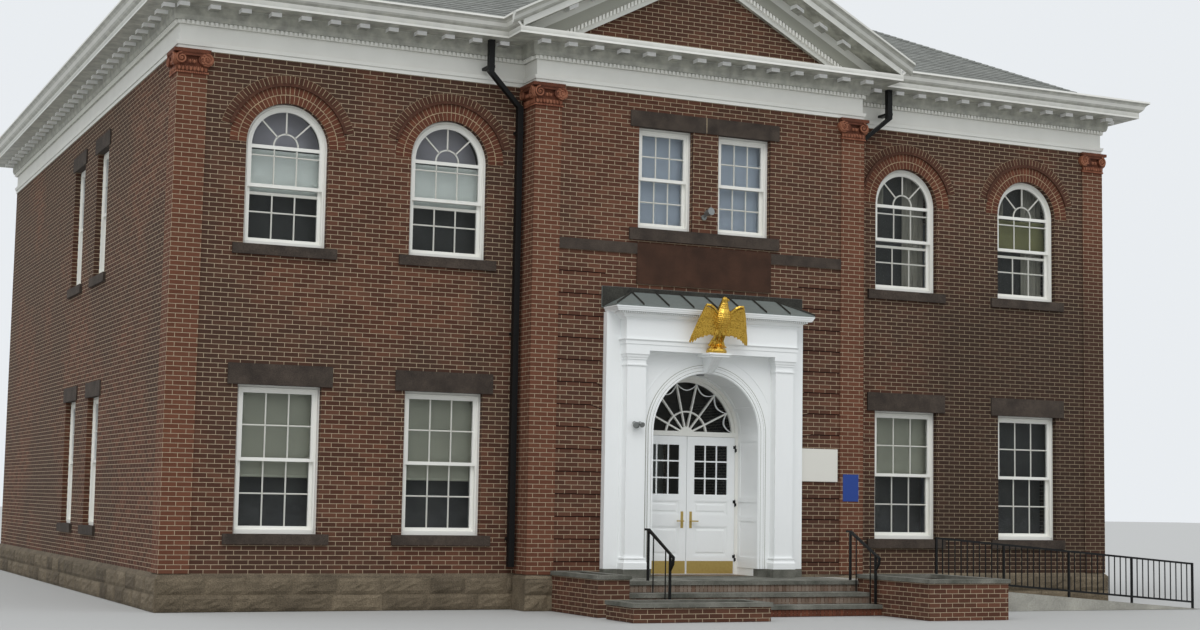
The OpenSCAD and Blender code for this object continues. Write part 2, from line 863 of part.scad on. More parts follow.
// Blocks round the wings, sides, rear and the front of the bay
module flat_modillions() {
    wing_count = floor((half_w - bay_half - bed_o - modillion_w) / modillion_pitch);
    bay_count = floor(bay_half / modillion_pitch);
    side_count = round(depth / modillion_pitch);
    rear_count = round(2 * half_w / modillion_pitch);
    both_sides() {
        for (m = [0:wing_count])
            modillion(half_w - m * modillion_pitch, 0);
        for (m = [0:bay_count])
            modillion((m + 0.5) * modillion_pitch, front_y);
        for (m = [0:side_count])
            rotate([0, 0, -90]) modillion(-m * depth / side_count, -half_w);
    }
    for (m = [0:rear_count])
        rotate([0, 0, 180]) modillion(-half_w + 2 * m * half_w / rear_count, -depth);
}

// Blocks under the sloping soffit of the pediment
module rake_modillions() {
    count = floor(bay_half / modillion_pitch);
    top = crown_apex - gutter_h - corona_h - seat_gap;
    both_sides()
        for (m = [0:count - 1]) {
            x0 = (m + 0.5) * modillion_pitch - modillion_w / 2;
            x1 = x0 + modillion_w;
            prism_y([[x0, top - x0 * roof_slope], [x1, top - x1 * roof_slope],
                [x1, top - x1 * roof_slope - modillion_h], [x0, top - x0 * roof_slope - modillion_h]],
                front_y - modillion_o, front_y - rake_bed);
        }
}

module modillions() {
    color("white") {
        flat_modillions();
        rake_modillions();
    }
}

// Strip under the crown of the pediment, from depth a to depth b below it
module rake_strip(a, b, y0, y1) {
    za = crown_apex - a;
    zb = crown_apex - b;
    low = rake_x * roof_slope;
    difference() {
        prism_y([[-rake_x, za - low], [0, za], [rake_x, za - low], [rake_x, zb - low], [0, zb],
            [-rake_x, zb - low]], y0, y1);
        centred(rake_x + 1, y0 - 1, y1 + 1, 0, corona_top);
    }
}

// Sloping cyma that crowns the pediment, cut plumb at its feet
module rake_crown() {
    x_end = bay_half + gutter_o;
    pitch = atan(roof_slope);
    drop = cos(pitch);
    curve = cyma(corona_o, -gutter_h * drop, gutter_o, -gutter_lip);
    profile = concat([for (p = curve) [front_y - p[0], p[1]]],
        [[front_y - gutter_o, 0], [front_y - corona_o, 0]]);
    both_sides()
        intersection() {
            translate([0, 0, crown_apex])
                rotate([0, pitch, 0])
                    prism_x(profile, -gutter_h, x_end / drop + gutter_h);
            slab(0, x_end, front_y - gutter_o - 1, front_y, corona_top, crown_apex + 1);
        }
}

module raking_cornice() {
    face = front_y + frieze_t;
    fascia = gutter_h + corona_h;
    board = 30;
    bed_h = 150;
    color("white") {
        rake_strip(roof_t, fascia, front_y - corona_o, front_y - corona_o + board);
        rake_strip(fascia - board, fascia, front_y - corona_o, face);
        rake_strip(fascia, fascia + bed_h, front_y - rake_bed, face);
        rake_strip(fascia + bed_h, rake_h, front_y - board, face);
        rake_crown();
    }
}

// Solid under a hipped roof whose edge at roof_o has height z
module hip_solid(z) {
    hw = half_w + roof_o;
    mid = depth / 2;
    hd = mid + roof_o;
    intersection() {
        prism_y([[-hw, z - roof_t], [hw, z - roof_t], [hw, z], [0, z + hw * roof_slope], [-hw, z]],
            -roof_o, depth + roof_o);
        prism_x([[-roof_o, z - roof_t], [depth + roof_o, z - roof_t], [depth + roof_o, z],
            [mid, z + hd * roof_slope], [-roof_o, z]], -hw, hw);
    }
}

// Solid under the bay's gabled roof, `drop` below its surface and hw wide to each side
module bay_prism(drop, hw, y0, y1) {
    z = crown_apex - drop;
    prism_y([[-hw, soffit_z - drop], [hw, soffit_z - drop], [hw, z - hw * roof_slope], [0, z],
        [-hw, z - hw * roof_slope]], y0, y1);
}

module main_roof() {
    color("dimgray")
        difference() {
            hip_solid(roof_edge_z);
            translate([0, 0, -roof_t]) hip_solid(roof_edge_z);
            bay_prism(0, bay_half + roof_o, -roof_o - 1, depth / 2);
        }
}

module bay_roof() {
    hw = bay_half + roof_o;
    color("dimgray")
        difference() {
            bay_prism(0, hw, front_y - corona_o, depth / 2);
            bay_prism(roof_t, hw + 1, front_y - corona_o - 1, depth / 2 + 1);
            translate([0, 0, -roof_t]) hip_solid(roof_edge_z);
        }
}

// Slanting stretch of square pipe between two levels
module slanting_pipe(a, b) {
    hull()
        for (p = [a, b])
            translate([p[0] - pipe_w / 2, p[1] - pipe_w / 2, p[2]])
                cube([pipe_w, pipe_w, 1]);
}

// Black pipes from the wing soffits to the inner corners, held by straps
module downspouts() {
    x = bay_half + pipe_gap + pipe_w / 2;
    y = -pipe_gap - pipe_w / 2;
    z0 = base_h + 100;
    drop_z = frieze_z - 230;
    half = pipe_w / 2;
    color("black")
        both_sides() {
            slab(-x - half, -x + half, y - half, y + half, z0, capital_z + 1);
            slanting_pipe([-x, y, capital_z], [-elbow_x, -elbow_y, drop_z]);
            slab(-elbow_x - half, -elbow_x + half, -elbow_y - half, -elbow_y + half, drop_z, soffit_z);
            for (z = [z0 + 400, (z0 + capital_z) / 2, capital_z - 400])
                slab(-x - half - 5, -x + half + 5, y - half - 5, 0, z, z + 40);
            slab(-elbow_x - half - 5, -elbow_x + half + 5, -elbow_y - half - 5, 0, drop_z + 60, drop_z + 100);
        }
}

// Frame and sashes of a rectangular window that faces -Y; its lower left corner is the origin
module window_unit(w, h) {
    meet = h / 2;
    in = frame_w + sash_w;
    difference() {
        slab(0, w, reveal, reveal + frame_d, 0, h);
        slab(frame_w, w - frame_w, reveal - 1, reveal + frame_d + 1, frame_w, h - frame_w);
    }
    difference() {
        union() {
            slab(frame_w, w - frame_w, sash_y, sash_y + sash_t, meet - sash_w / 2, h - frame_w);
            slab(frame_w, w - frame_w, sash_y + sash_t, sash_y + 2 * sash_t, frame_w, meet + sash_w / 2);
        }
        slab(in, w - in, reveal, reveal + frame_d, meet + sash_w / 2, h - in);
        slab(in, w - in, reveal, reveal + frame_d, in, meet - sash_w / 2);
    }
}

// Glass of the same window, one sheet in each sash
module window_panes(w, h) {
    meet = h / 2;
    in = frame_w + sash_w;
    slab(in, w - in, pane_y, pane_y + glass_t, meet + sash_w / 2, h - in);
    slab(in, w - in, pane_y + sash_t, pane_y + sash_t + glass_t, in, meet - sash_w / 2);
}

// Frame and sashes of an arched window
module arched_unit() {
    x = window_w / 2;
    in = frame_w + sash_w;
    z1 = spring_z - upper_z;
    meet = arched_meet;
    difference() {
        arch_cut(x, window_w, 0, z1, reveal, reveal + frame_d);
        arch_cut(x, window_w - 2 * frame_w, frame_w, z1, reveal - 1, reveal + frame_d + 1);
    }
    difference() {
        arch_cut(x, window_w - 2 * frame_w, frame_w, z1, sash_y, sash_y + sash_t);
        arch_cut(x, window_w - 2 * in, meet + sash_w / 2, z1, reveal, reveal + frame_d);
        slab(0, window_w, reveal, reveal + frame_d, 0, meet - sash_w / 2);
    }
    difference() {
        slab(frame_w, window_w - frame_w, sash_y + sash_t, sash_y + 2 * sash_t, frame_w, meet + sash_w / 2);
        slab(in, window_w - in, reveal, reveal + frame_d, in, meet - sash_w / 2);
    }
    slab(in, window_w - in, sash_y, sash_y + sash_t, z1 - sash_w, z1);
}

module arched_panes() {
    in = frame_w + sash_w;
    z1 = spring_z - upper_z;
    difference() {
        arch_cut(window_w / 2, window_w - 2 * in, arched_meet + sash_w / 2, z1, pane_y, pane_y + glass_t);
        slab(0, window_w, pane_y - 1, pane_y + glass_t + 1, z1 - sash_w, z1);
    }
    slab(in, window_w - in, pane_y + sash_t, pane_y + sash_t + glass_t, in, arched_meet - sash_w / 2);
}

// Places the children at each wing window of one storey
module at_wing_windows(z) {
    for (x = [-window_x2, -window_x1, window_x1, window_x2])
        translate([x - window_w / 2, 0, z]) children();
}

module at_bay_windows() {
    for (x = [-bay_window_x, bay_window_x])
        translate([x - bay_window_w / 2, front_y, bay_window_z]) children();
}

module at_side_windows() {
    both_sides()
        for (y = side_y, z = [lower_z, upper_z])
            translate([-half_w, y + side_window_w / 2, z]) rotate([0, 0, -90]) children();
}

module at_rear_windows() {
    for (x = rear_x, z = [lower_z, upper_z])
        translate([x + window_w / 2, depth, z]) rotate([0, 0, 180]) children();
}

module front_windows() {
    color("white") {
        at_wing_windows(lower_z) window_unit(window_w, window_h);
        at_wing_windows(upper_z) arched_unit();
        at_bay_windows() window_unit(bay_window_w, bay_window_head - bay_window_z);
    }
}

module front_glass() {
    color("lightblue", 0.5) {
        at_wing_windows(lower_z) window_panes(window_w, window_h);
        at_wing_windows(upper_z) arched_panes();
        at_bay_windows() window_panes(bay_window_w, bay_window_head - bay_window_z);
    }
}

module side_windows() {
    color("white") at_side_windows() window_unit(side_window_w, window_h);
}

module side_glass() {
    color("lightblue", 0.5) at_side_windows() window_panes(side_window_w, window_h);
}

module rear_windows() {
    color("white") at_rear_windows() window_unit(window_w, window_h);
}

module rear_glass() {
    color("lightblue", 0.5) at_rear_windows() window_panes(window_w, window_h);
}

// Heights and projections of a portal pilaster's base, shaft and cap
function pilaster_profile() =
    let (o = shaft_inset, z0 = plinth_top, z1 = entablature_z) concat(
    [[o, z0], [o, z0 + 90]],
    [for (p = cyma(o, 0, 0.4 * o, 50)) [p[0], z0 + 95 + p[1]]],
    [[0.7 * o, z0 + 150], [0.7 * o, z0 + 175], [0, z0 + 175], [0, z1 - 235],
    [0.35 * o, z1 - 235], [0.35 * o, z1 - 215], [0, z1 - 215], [0, z1 - 140],
    [0.3 * o, z1 - 140], [0.3 * o, z1 - 120]],
    cyma(0.35 * o, z1 - 120, 0.85 * o, z1 - 65),
    [[o, z1 - 60], [o, z1]]);

// Side strips and pilasters of the portal
module portal_casing() {
    inner = portal_half - portal_pilaster_w;
    y0 = front_y - portal_p;
    color("white")
        both_sides() {
            slab(-strip_half, -portal_half, front_y - strip_p, front_y, plinth_top, frieze_top);
            slab(-portal_half, -inner, front_y - arch_p, front_y, plinth_top, entablature_z);
            moulded_block(-portal_half + shaft_inset, -inner - shaft_inset, y0 + shaft_inset, front_y,
                pilaster_profile());
        }
}

// Flat panel with the arched opening, and the lining of the doorway behind it
module portal_arch() {
    inner = portal_half - portal_pilaster_w;
    color("white")
        difference() {
            union() {
                centred(inner, front_y - arch_p, front_y, plinth_top, entablature_z);
                arch_cut(0, 2 * door_half, floor_z, arch_z, front_y - arch_p, door_y);
            }
            arch_cut(0, 2 * arch_r, floor_z - 1, arch_z, front_y - arch_p - 1, door_y + 1);
            both_sides() slab(-door_half - 1, 0, front_y - arch_p - 1, front_y, floor_z - 1, plinth_top);
        }
}

// Architrave, frieze and cornice of the portal, up to the eaves of its hood
module portal_entablature() {
    y0 = front_y - portal_p;
    z0 = entablature_z;
    top = frieze_top + portal_cornice_h;
    o = portal_cornice_o;
    profile = concat([[0, z0], [0, z0 + 90], [8, z0 + 90], [8, z0 + 140], [24, z0 + 160], [24, z0 + 170],
        [0, z0 + 170], [0, frieze_top - 110], [10, frieze_top - 110], [10, frieze_top - 90]],
        cyma(16, frieze_top - 90, 0.45 * o, frieze_top - 30),
        [[0.55 * o, frieze_top - 30], [0.55 * o, frieze_top], [0.85 * o, frieze_top]],
        cyma(0.85 * o, frieze_top + 10, o, top - 15),
        [[o, top]]);
    color("white")
        difference() {
            moulded_block(-portal_half, portal_half, y0, front_y, profile, (hood_x - portal_half) / o);
            both_sides() slab(-hood_x - 1, -portal_half, front_y - strip_p, front_y + 1, z0 - 1, frieze_top);
        }
}

// Low hipped metal hood over the portal, with its upstand against the brick
module portal_hood() {
    z0 = frieze_top + portal_cornice_h;
    y0 = front_y - portal_p - portal_cornice_o;
    edge = 20;
    ridge_x = hood_x - portal_p - portal_cornice_o;
    color("slategray") {
        intersection() {
            prism_x([[y0, z0], [front_y, z0], [front_y, z0 + hood_h], [y0, z0 + edge]], -hood_x, hood_x);
            prism_y([[-hood_x, z0], [hood_x, z0], [hood_x, z0 + edge], [ridge_x, z0 + hood_h],
                [-ridge_x, z0 + hood_h], [-hood_x, z0 + edge]], y0, front_y);
        }
        centred(hood_x + 40, front_y - edge, front_y, z0, panel_z - 65);
    }
}

// Fluted keystone at the crown of the arch, spreading into the shelf that carries the eagle
module keystone_bracket() {
    foot = entablature_z - 290;
    cap = entablature_z - 60;
    y1 = front_y - arch_p;
    lean = [[y1 - 90, foot], [y1 - perch_d + 60, cap]];
    flute = 12;
    color("white") {
        difference() {
            intersection() {
                prism_y([[-65, foot], [65, foot], [perch_half / 2, cap], [-perch_half / 2, cap]],
                    y1 - perch_d, y1);
                prism_x(concat(lean, [[y1, cap], [y1, foot]]), -perch_half, perch_half);
            }
            for (x = [-40, 0, 40])
                prism_x([lean[0] - [flute, 0], lean[0] + [flute, 0], lean[1] + [flute, 0],
                    lean[1] - [flute, 0]], x - flute, x + flute);
        }
        moulded_block(-perch_half + 20, perch_half - 20, y1 - perch_d + 20, y1,
            [[0, cap], [0, cap + 15], [20, cap + 35], [20, entablature_z]]);
    }
}

// Feather from root to tip across the wing, `front` in front of it, with a raised quill.
// Points are [sideways, height]; the wing curls forwards in its middle.
module feather(root, tip, w, front) {
    along = tip - root;
    across = [along[1], -along[0]] / norm(along) * w / 2;
    t = 10;
    hull()
        for (s = [[0, 0.45], [0.35, 0.95], [0.8, 1], [0.95, 0.6], [1, 0.1]]) {
            p = between(root, tip, s[0]);
            y = -curl * sin(180 * min(1, p[0] / wing_half)) - front;
            polyhedron(
                [[p[0] - across[0] * s[1], y, p[1] - across[1] * s[1]],
                [p[0] + across[0] * s[1], y, p[1] + across[1] * s[1]],
                [p[0], y - t * s[1], p[1]], [p[0], y + t / 2, p[1]]],
                [[0, 2, 1], [0, 1, 3], [1, 2, 3], [0, 3, 2]]);
        }
}

// Rows of feathers that hang from the arm of the left-hand wing, longest row behind
module wing() {
    shoulder = [60, 560];
    wrist = [wing_half - 190, wing_top];
    tip = [wing_half, wing_tip];
    long_count = 13;
    for (row = [[1, 52, 0], [0.62, 48, 12], [0.36, 44, 22]], i = [0:long_count - 1]) {
        t = i / (long_count - 1);
        root = bend(wrist + [15, -30], [wing_half - 290, wing_top - 15], shoulder, t);
        end = bend(tip, [wing_half - 260, wing_tip + 190], [110, wing_tip + 150], t);
        feather(root, between(root, end, row[0]), row[1], row[2] + 3 * (i % 2));
    }
    arm = [for (i = [0:4]) bend(shoulder, [wing_half - 300, wing_top + 20], wrist, i / 4)];
    edge = [for (i = [1:4]) between(wrist, tip, i / 8) + [8, 0]];
    rim = concat(arm, edge);
    for (i = [0:len(rim) - 2])
        hull()
            for (k = [i, i + 1])
                translate([rim[k][0], -curl * sin(180 * min(1, rim[k][0] / wing_half)) - 12, rim[k][1]])
                    sphere(r = 30 - 2.4 * k, $fn = 8);
}

// Tail that spreads behind the legs
module tail() {
    count = 7;
    for (i = [0:count - 1]) {
        a = 20 * (i - (count - 1) / 2) / 2;
        hull() {
            translate([0, 25, 330]) sphere(r = 30, $fn = 8);
            translate([250 * sin(a), 45 + 3 * (i % 2), 330 - 250 * cos(a)]) sphere(r = 20, $fn = 8);
        }
    }
}

// Feathered thigh, shank and gripping toes on the left-hand side
module leg() {
    x = 62;
    hull() {
        translate([x - 22, -105, 400]) sphere(r = 40, $fn = 10);
        translate([x, -92, 300]) sphere(r = 44, $fn = 10);
        translate([x + 6, -45, 190]) sphere(r = 22, $fn = 10);
    }
    hull() {
        translate([x + 6, -45, 190]) sphere(r = 17, $fn = 8);
        translate([x + 8, -50, 110]) sphere(r = 15, $fn = 8);
    }
    for (a = [-125, -90, -55, 90])
        hull() {
            translate([x + 8, -50, 112]) sphere(r = 16, $fn = 8);
            translate([x + 8 + 62 * cos(a), -50 + 62 * sin(a) * 0.8, 92]) sphere(r = 11, $fn = 8);
        }
}

// Body, neck, and a head with a hooked beak turned to its left
module trunk() {
    loft([for (s = [[200, 20, 26, 24], [270, 12, 44, 40], [360, 2, 58, 58], [440, -8, 84, 80],
        [520, -20, 108, 98], [595, -28, 120, 104], [650, -26, 112, 92], [705, -16, 86, 70],
        [760, -12, 64, 58], [800, -16, 54, 52], [835, -20, 44, 44]])
        level_ring(0, s[1], s[0], s[2], s[3], 16)]);
    translate([0, -24, 836])
        rotate([0, 90, 20])
            loft([for (s = [[-58, 0, 10], [-48, 0, 30], [-22, 0, 46], [8, 0, 47], [34, 3, 37], [50, 7, 26],
                [74, 4, 21], [94, 12, 14], [104, 30, 4]]) level_ring(s[1], 0, s[0], s[2], s[2] * 0.85, 10)]);
}

// Rough mound under the claws
module mound() {
    loft([for (s = [[0, 170, 85], [35, 168, 90], [70, 150, 78], [98, 116, 58]])
        [for (i = [0:15]) let (a = 22.5 * i, wave = 1 + 0.06 * sin(5 * a + s[0]))
            [s[1] * wave * cos(a), s[2] * wave * sin(a), s[0]]]]);
}

// Gilded eagle with drooping half-open wings, leaning forwards from its shelf
module eagle() {
    lean = 15;
    model_h = 845;
    color("gold")
        translate([0, front_y - arch_p - perch_d + 125, entablature_z])
            scale(eagle_h / model_h) {
                mound();
                both_sides() leg();
                rotate([lean, 0, 0]) {
                    trunk();
                    tail();
                    both_sides() mirror([1, 0, 0]) wing();
                }
            }
}

// Area over the transom inside radius r
module fan_area(r) {
    intersection() {
        translate([0, arch_z]) circle(r = r, $fn = 96);
        translate([-r, transom_top]) square([2 * r, 2 * r]);
    }
}

// Extrudes an outline drawn in X and Z between y0 and y1
module face_plate(y0, y1) {
    translate([0, y1, 0]) rotate([90, 0, 0]) linear_extrude(y1 - y0) children();
}

// Jambs, transom and arch round the doors, with the fanlight sash
module door_frame() {
    fan_r = arch_r - frame_w;
    sash_r = fan_r - sash_w;
    hub_r = 120;
    ring_r = 370;
    bar = 24;
    rays = 6;
    color("white") {
        difference() {
            arch_cut(0, 2 * door_half, floor_z, arch_z, door_y, frame_back);
            centred(leaf_w + leaf_gap, door_y - 1, frame_back + 1, floor_z - 1, transom_z);
            face_plate(door_y - 1, frame_back + 1) fan_area(fan_r);
        }
        difference() {
            face_plate(fan_y, fan_y + sash_t) fan_area(fan_r);
            face_plate(fan_y - 1, fan_y + sash_t + 1)
                difference() {
                    fan_area(sash_r);
                    translate([0, arch_z]) {
                        circle(r = hub_r);
                        difference() {
                            circle(r = ring_r);
                            circle(r = ring_r - bar);
                        }
                        for (i = [1:rays])
                            rotate(i * 180 / (rays + 1)) translate([0, -bar / 2]) square([fan_r, bar]);
                    }
                }
        }
    }
}

module fanlight_glass() {
    y1 = fan_y + sash_t + glass_t;
    color("lightblue", 0.5)
        face_plate(fan_y + sash_t, y1) fan_area(arch_r - frame_w);
}

// Left leaf: an opening for the lights over a lock rail and recessed panels
module leaf() {
    z0 = floor_z + leaf_gap;
    x0 = -leaf_w;
    recess = 10;
    panels = [[light_z - 310, light_z - 90], [z0 + 285, light_z - 490]];
    difference() {
        slab(x0, -meeting_gap / 2, door_y, door_y + leaf_t, z0, z0 + leaf_h);
        slab(x0 + stile_w, -stile_w, door_y - 1, door_y + leaf_t + 1, light_z, light_z + light_h);
        for (p = panels)
            slab(x0 + stile_w, -stile_w, door_y - 1, door_y + recess, p[0], p[1]);
    }
}

module leaf_glass() {
    y0 = door_y + (leaf_t - glass_t) / 2;
    slab(-leaf_w + stile_w, -stile_w, y0, y0 + glass_t, light_z, light_z + light_h);
}

// Hinge heights above the floor
function hinge_z() = [for (t = [0.1, 0.5, 0.9]) floor_z + t * leaf_h];

// Half of each hinge on the left: knuckle and plate, turned towards side
module hinge_halves(side, lift) {
    for (z = hinge_z()) {
        translate([-pivot_x, pivot_y, z + lift]) cylinder(r = knuckle_r, h = knuckle_h);
        translate([-pivot_x - (side < 0 ? hinge_w : 0), door_y - 4, z + lift]) cube([hinge_w, 4, knuckle_h]);
    }
}

// Lever handle on its plate, kick plate and hinges of the left leaf
module leaf_brass() {
    z0 = floor_z + leaf_gap;
    handle_z = floor_z + 840;
    slab(-100, -55, door_y - 4, door_y, handle_z - 110, handle_z + 150);
    translate([-78, door_y, handle_z]) rotate([90, 0, 0]) cylinder(r = 11, h = 50);
    slab(-190, -66, door_y - 60, door_y - 44, handle_z - 10, handle_z + 10);
    slab(-leaf_w + 15, -15, door_y - 3, door_y, z0 + 10, z0 + 210);
    hinge_halves(1, knuckle_h + 0.3);
}

module left_door_leaf() {
    color("white") leaf();
}

module right_door_leaf() {
    color("white") mirror([1, 0, 0]) leaf();
}

module left_door_glass() {
    color("lightblue", 0.5) leaf_glass();
}

module right_door_glass() {
    color("lightblue", 0.5) mirror([1, 0, 0]) leaf_glass();
}

module left_door_brass() {
    color("goldenrod") leaf_brass();
}

module right_door_brass() {
    color("goldenrod") mirror([1, 0, 0]) leaf_brass();
}

module frame_hinges() {
    color("goldenrod") both_sides() hinge_halves(-1, 0);
}

// Grey stone blocks under the portal, and the door sill
module portal_plinths() {
    inner = portal_half - portal_pilaster_w;
    color("gray") {
        both_sides() {
            slab(-strip_half, -arch_r, front_y - arch_p, front_y, landing_z, plinth_top);
            slab(-portal_half, -inner, front_y - portal_p, front_y - arch_p, landing_z, plinth_top);
        }
        centred(arch_r, front_y - arch_p, front_y, landing_z, floor_z);
    }
}

// Brick body under the landing and the steps
module steps_core() {
    y2 = steps_y - 2 * tread_d;
    y1 = steps_y - tread_d;
    color("firebrick")
        prism_x([[front_y, 0], [y2, 0], [y2, riser_h - slab_t], [y1, riser_h - slab_t],
            [y1, 2 * riser_h - slab_t], [steps_y, 2 * riser_h - slab_t], [steps_y, landing_z - slab_t],
            [front_y, landing_z - slab_t]], -landing_half, landing_half);
}

module step_treads() {
    color("slategray") {
        centred(landing_half, steps_y - nosing, front_y, landing_z - slab_t, landing_z);
        for (i = [1, 2])
            centred(landing_half, steps_y - i * tread_d - nosing, steps_y - (i - 1) * tread_d,
                landing_z - i * riser_h - slab_t, landing_z - i * riser_h);
    }
}

// Left, right, front and back of each planter, and the top of its coping
planter_plans = [
    [-landing_half - side_planter_w, -landing_half, steps_y - side_planter_d, front_y - base_p, planter_h],
    [-landing_half - side_planter_w, -low_planter_x, low_front, steps_y - 2 * tread_d - nosing,
        low_planter_h],
    [landing_half, landing_half + right_planter_w, planter_front, steps_y, planter_h]];

module planters() {
    t = planter_t;
    color("firebrick")
        for (p = planter_plans)
            difference() {
                slab(p[0], p[1], p[2], p[3], 0, p[4] - slab_t);
                slab(p[0] + t, p[1] - t, p[2] + t, p[3] - t, p[4] - soil_drop, p[4]);
            }
}

module planter_copings() {
    t = planter_t + nosing;
    color("slategray")
        for (p = planter_plans)
            difference() {
                slab(p[0] - nosing, p[1] + nosing, p[2] - nosing, p[3], p[4] - slab_t, p[4]);
                slab(p[0] + t, p[1] - t, p[2] + t, p[3] - t, p[4] - slab_t - 1, p[4] + 1);
            }
}

// Ramp deck along the right wing, falling from the landing to the ground
module ramp() {
    x0 = landing_half;
    side = bay_half + base_p;
    color("silver")
        intersection() {
            prism_y([[x0, 0], [ramp_end, 0], [ramp_top_x, landing_z], [x0, landing_z]], steps_y, 0);
            linear_extrude(landing_z)
                polygon([[x0, steps_y], [ramp_end, steps_y], [ramp_end, -base_p], [side, -base_p],
                    [side, front_y - base_p], [x0, front_y - base_p]]);
        }
}

function deck_z(x) = landing_z * min(1, (ramp_end - x) / (ramp_end - ramp_top_x));

// Bar between two points in the X and Z plane
module sloping_bar(x0, z0, x1, z1, t, y) {
    prism_y([[x0, z0], [x1, z1], [x1, z1 + t], [x0, z0 + t]], y - t / 2, y + t / 2);
}

module ramp_railing() {
    y = steps_y + 60;
    x0 = landing_half + right_planter_w + 100;
    x1 = ramp_end - 150;
    bays = round((x1 - x0) / post_gap);
    step = (x1 - x0) / bays;
    bars = round(step / bar_gap);
    foot = 90;
    color("black") {
        for (h = [foot, rail_h - rail_t])
            sloping_bar(x0, deck_z(x0) + h, x1, deck_z(x1) + h, rail_t, y);
        for (i = [0:bays]) {
            left = x0 + i * step - rail_t / 2;
            right = left + rail_t;
            prism_y([[left, deck_z(left)], [right, deck_z(right)], [right, deck_z(right) + rail_h],
                [left, deck_z(right) + rail_h]], y - rail_t / 2, y + rail_t / 2);
        }
        for (i = [0:bays - 1], j = [1:bars - 1]) {
            x = x0 + i * step + j * step / bars;
            slab(x - bar_t / 2, x + bar_t / 2, y - bar_t / 2, y + bar_t / 2,
                deck_z(x) + foot, deck_z(x) + rail_h - rail_t / 2);
        }
    }
}

// Handrail of the steps: two posts, two thin bars, and a looped lower end
module step_railing(x) {
    t = rail_t;
    y0 = steps_y - 2 * tread_d + 60;
    y1 = steps_y + 100;
    z0 = riser_h;
    z1 = landing_z;
    top0 = z0 + rail_h - 10;
    top1 = z1 + rail_h;
    fall = (top1 - top0) / (y1 - y0);
    loop = 70;
    end_z = top0 - loop * fall;
    slab(x - t / 2, x + t / 2, y1, y1 + t, z1, top1);
    slab(x - t / 2, x + t / 2, y0, y0 + t, z0, top0);
    slab(x - t / 2, x + t / 2, y1, y1 + 120, top1 - t, top1);
    prism_x([[y0 - loop, end_z - t], [y1 + t, top1 - t], [y1 + t, top1], [y1, top1],
        [y0 - loop, end_z]], x - t / 2, x + t / 2);
    prism_x([[y0 - loop, end_z - t], [y0 - loop, end_z], [y0 - loop - t, end_z - t / 2],
        [y0 - loop - t / 2, end_z - 120], [y0 + t / 2, end_z - 230], [y0 + t / 2, end_z - 230 + t],
        [y0 - loop + t / 2, end_z - 115]], x - t / 2, x + t / 2);
    for (i = [1, 2]) {
        y = y1 - i * tread_d + (i == 1 ? tread_d - 150 : 120);
        z = y > steps_y ? z1 : y > steps_y - tread_d ? z1 - riser_h : z0;
        slab(x - bar_t / 2, x + bar_t / 2, y - bar_t / 2, y + bar_t / 2, z, top1 + (y - y1) * fall - t / 2);
    }
}

// Handrails beside the steps
module step_railings() {
    color("black") {
        step_railing(-step_rail_x);
        step_railing(landing_half - 60);
    }
}

// Puts the middle of the whole at the origin
module placed() {
    translate([0, -mid_y, 0]) children();
}

placed() stone_base();
placed() front_wall_left();
placed() front_wall_right();
placed() upper_front_wall_left();
placed() upper_front_wall_right();
placed() left_side_wall();
placed() right_side_wall();
placed() rear_wall();
placed() bay_pier_left();
placed() bay_pier_right();
placed() door_arch_masonry();
placed() bay_upper_wall();
placed() ground_floor();
placed() upper_floor();
placed() corner_pilasters();
placed() capitals();
placed() window_lintels();
placed() window_sills();
placed() arch_labels();
placed() string_band();
placed() name_panel();
placed() entablature();
placed() front_eaves();
placed() side_eaves();
placed() rear_eaves();
placed() bay_cornice();
placed() raking_cornice();
placed() modillions();
placed() main_roof();
placed() bay_roof();
placed() downspouts();
placed() front_windows();
placed() front_glass();
placed() side_windows();
placed() side_glass();
placed() rear_windows();
placed() rear_glass();
placed() portal_casing();
placed() portal_arch();
placed() portal_entablature();
placed() portal_hood();
placed() keystone_bracket();
placed() eagle();
placed() portal_plinths();
placed() door_frame();
placed() fanlight_glass();
placed() frame_hinges();
placed() left_door_leaf();
placed() right_door_leaf();
placed() left_door_glass();
placed() right_door_glass();
placed() left_door_brass();
placed() right_door_brass();
placed() steps_core();
placed() step_treads();
placed() planters();
placed() planter_copings();
placed() ramp();
placed() ramp_railing();
placed() step_railings();
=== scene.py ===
"""Finishes and small work of a two-storey brick town hall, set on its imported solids."""

import random
from collections import defaultdict
from functools import partial
from math import asin, atan, cos, pi, radians, sin, sqrt

import bmesh
import bpy
from mathutils import Matrix, Vector


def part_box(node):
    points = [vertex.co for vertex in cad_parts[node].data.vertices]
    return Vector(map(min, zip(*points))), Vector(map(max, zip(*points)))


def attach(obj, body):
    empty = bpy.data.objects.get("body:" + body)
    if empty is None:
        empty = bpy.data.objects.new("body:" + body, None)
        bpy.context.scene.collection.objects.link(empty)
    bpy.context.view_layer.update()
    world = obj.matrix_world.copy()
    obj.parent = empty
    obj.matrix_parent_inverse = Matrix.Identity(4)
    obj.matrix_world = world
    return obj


bl_info = {
    "name": "Town hall dressing",
    "version": (1, 0, 0),
    "blender": (4, 5, 0),
    "location": "3D View > Sidebar > Town hall",
    "description": "Brickwork, joinery, roofing and metalwork on the town hall's solids",
    "category": "Object",
}

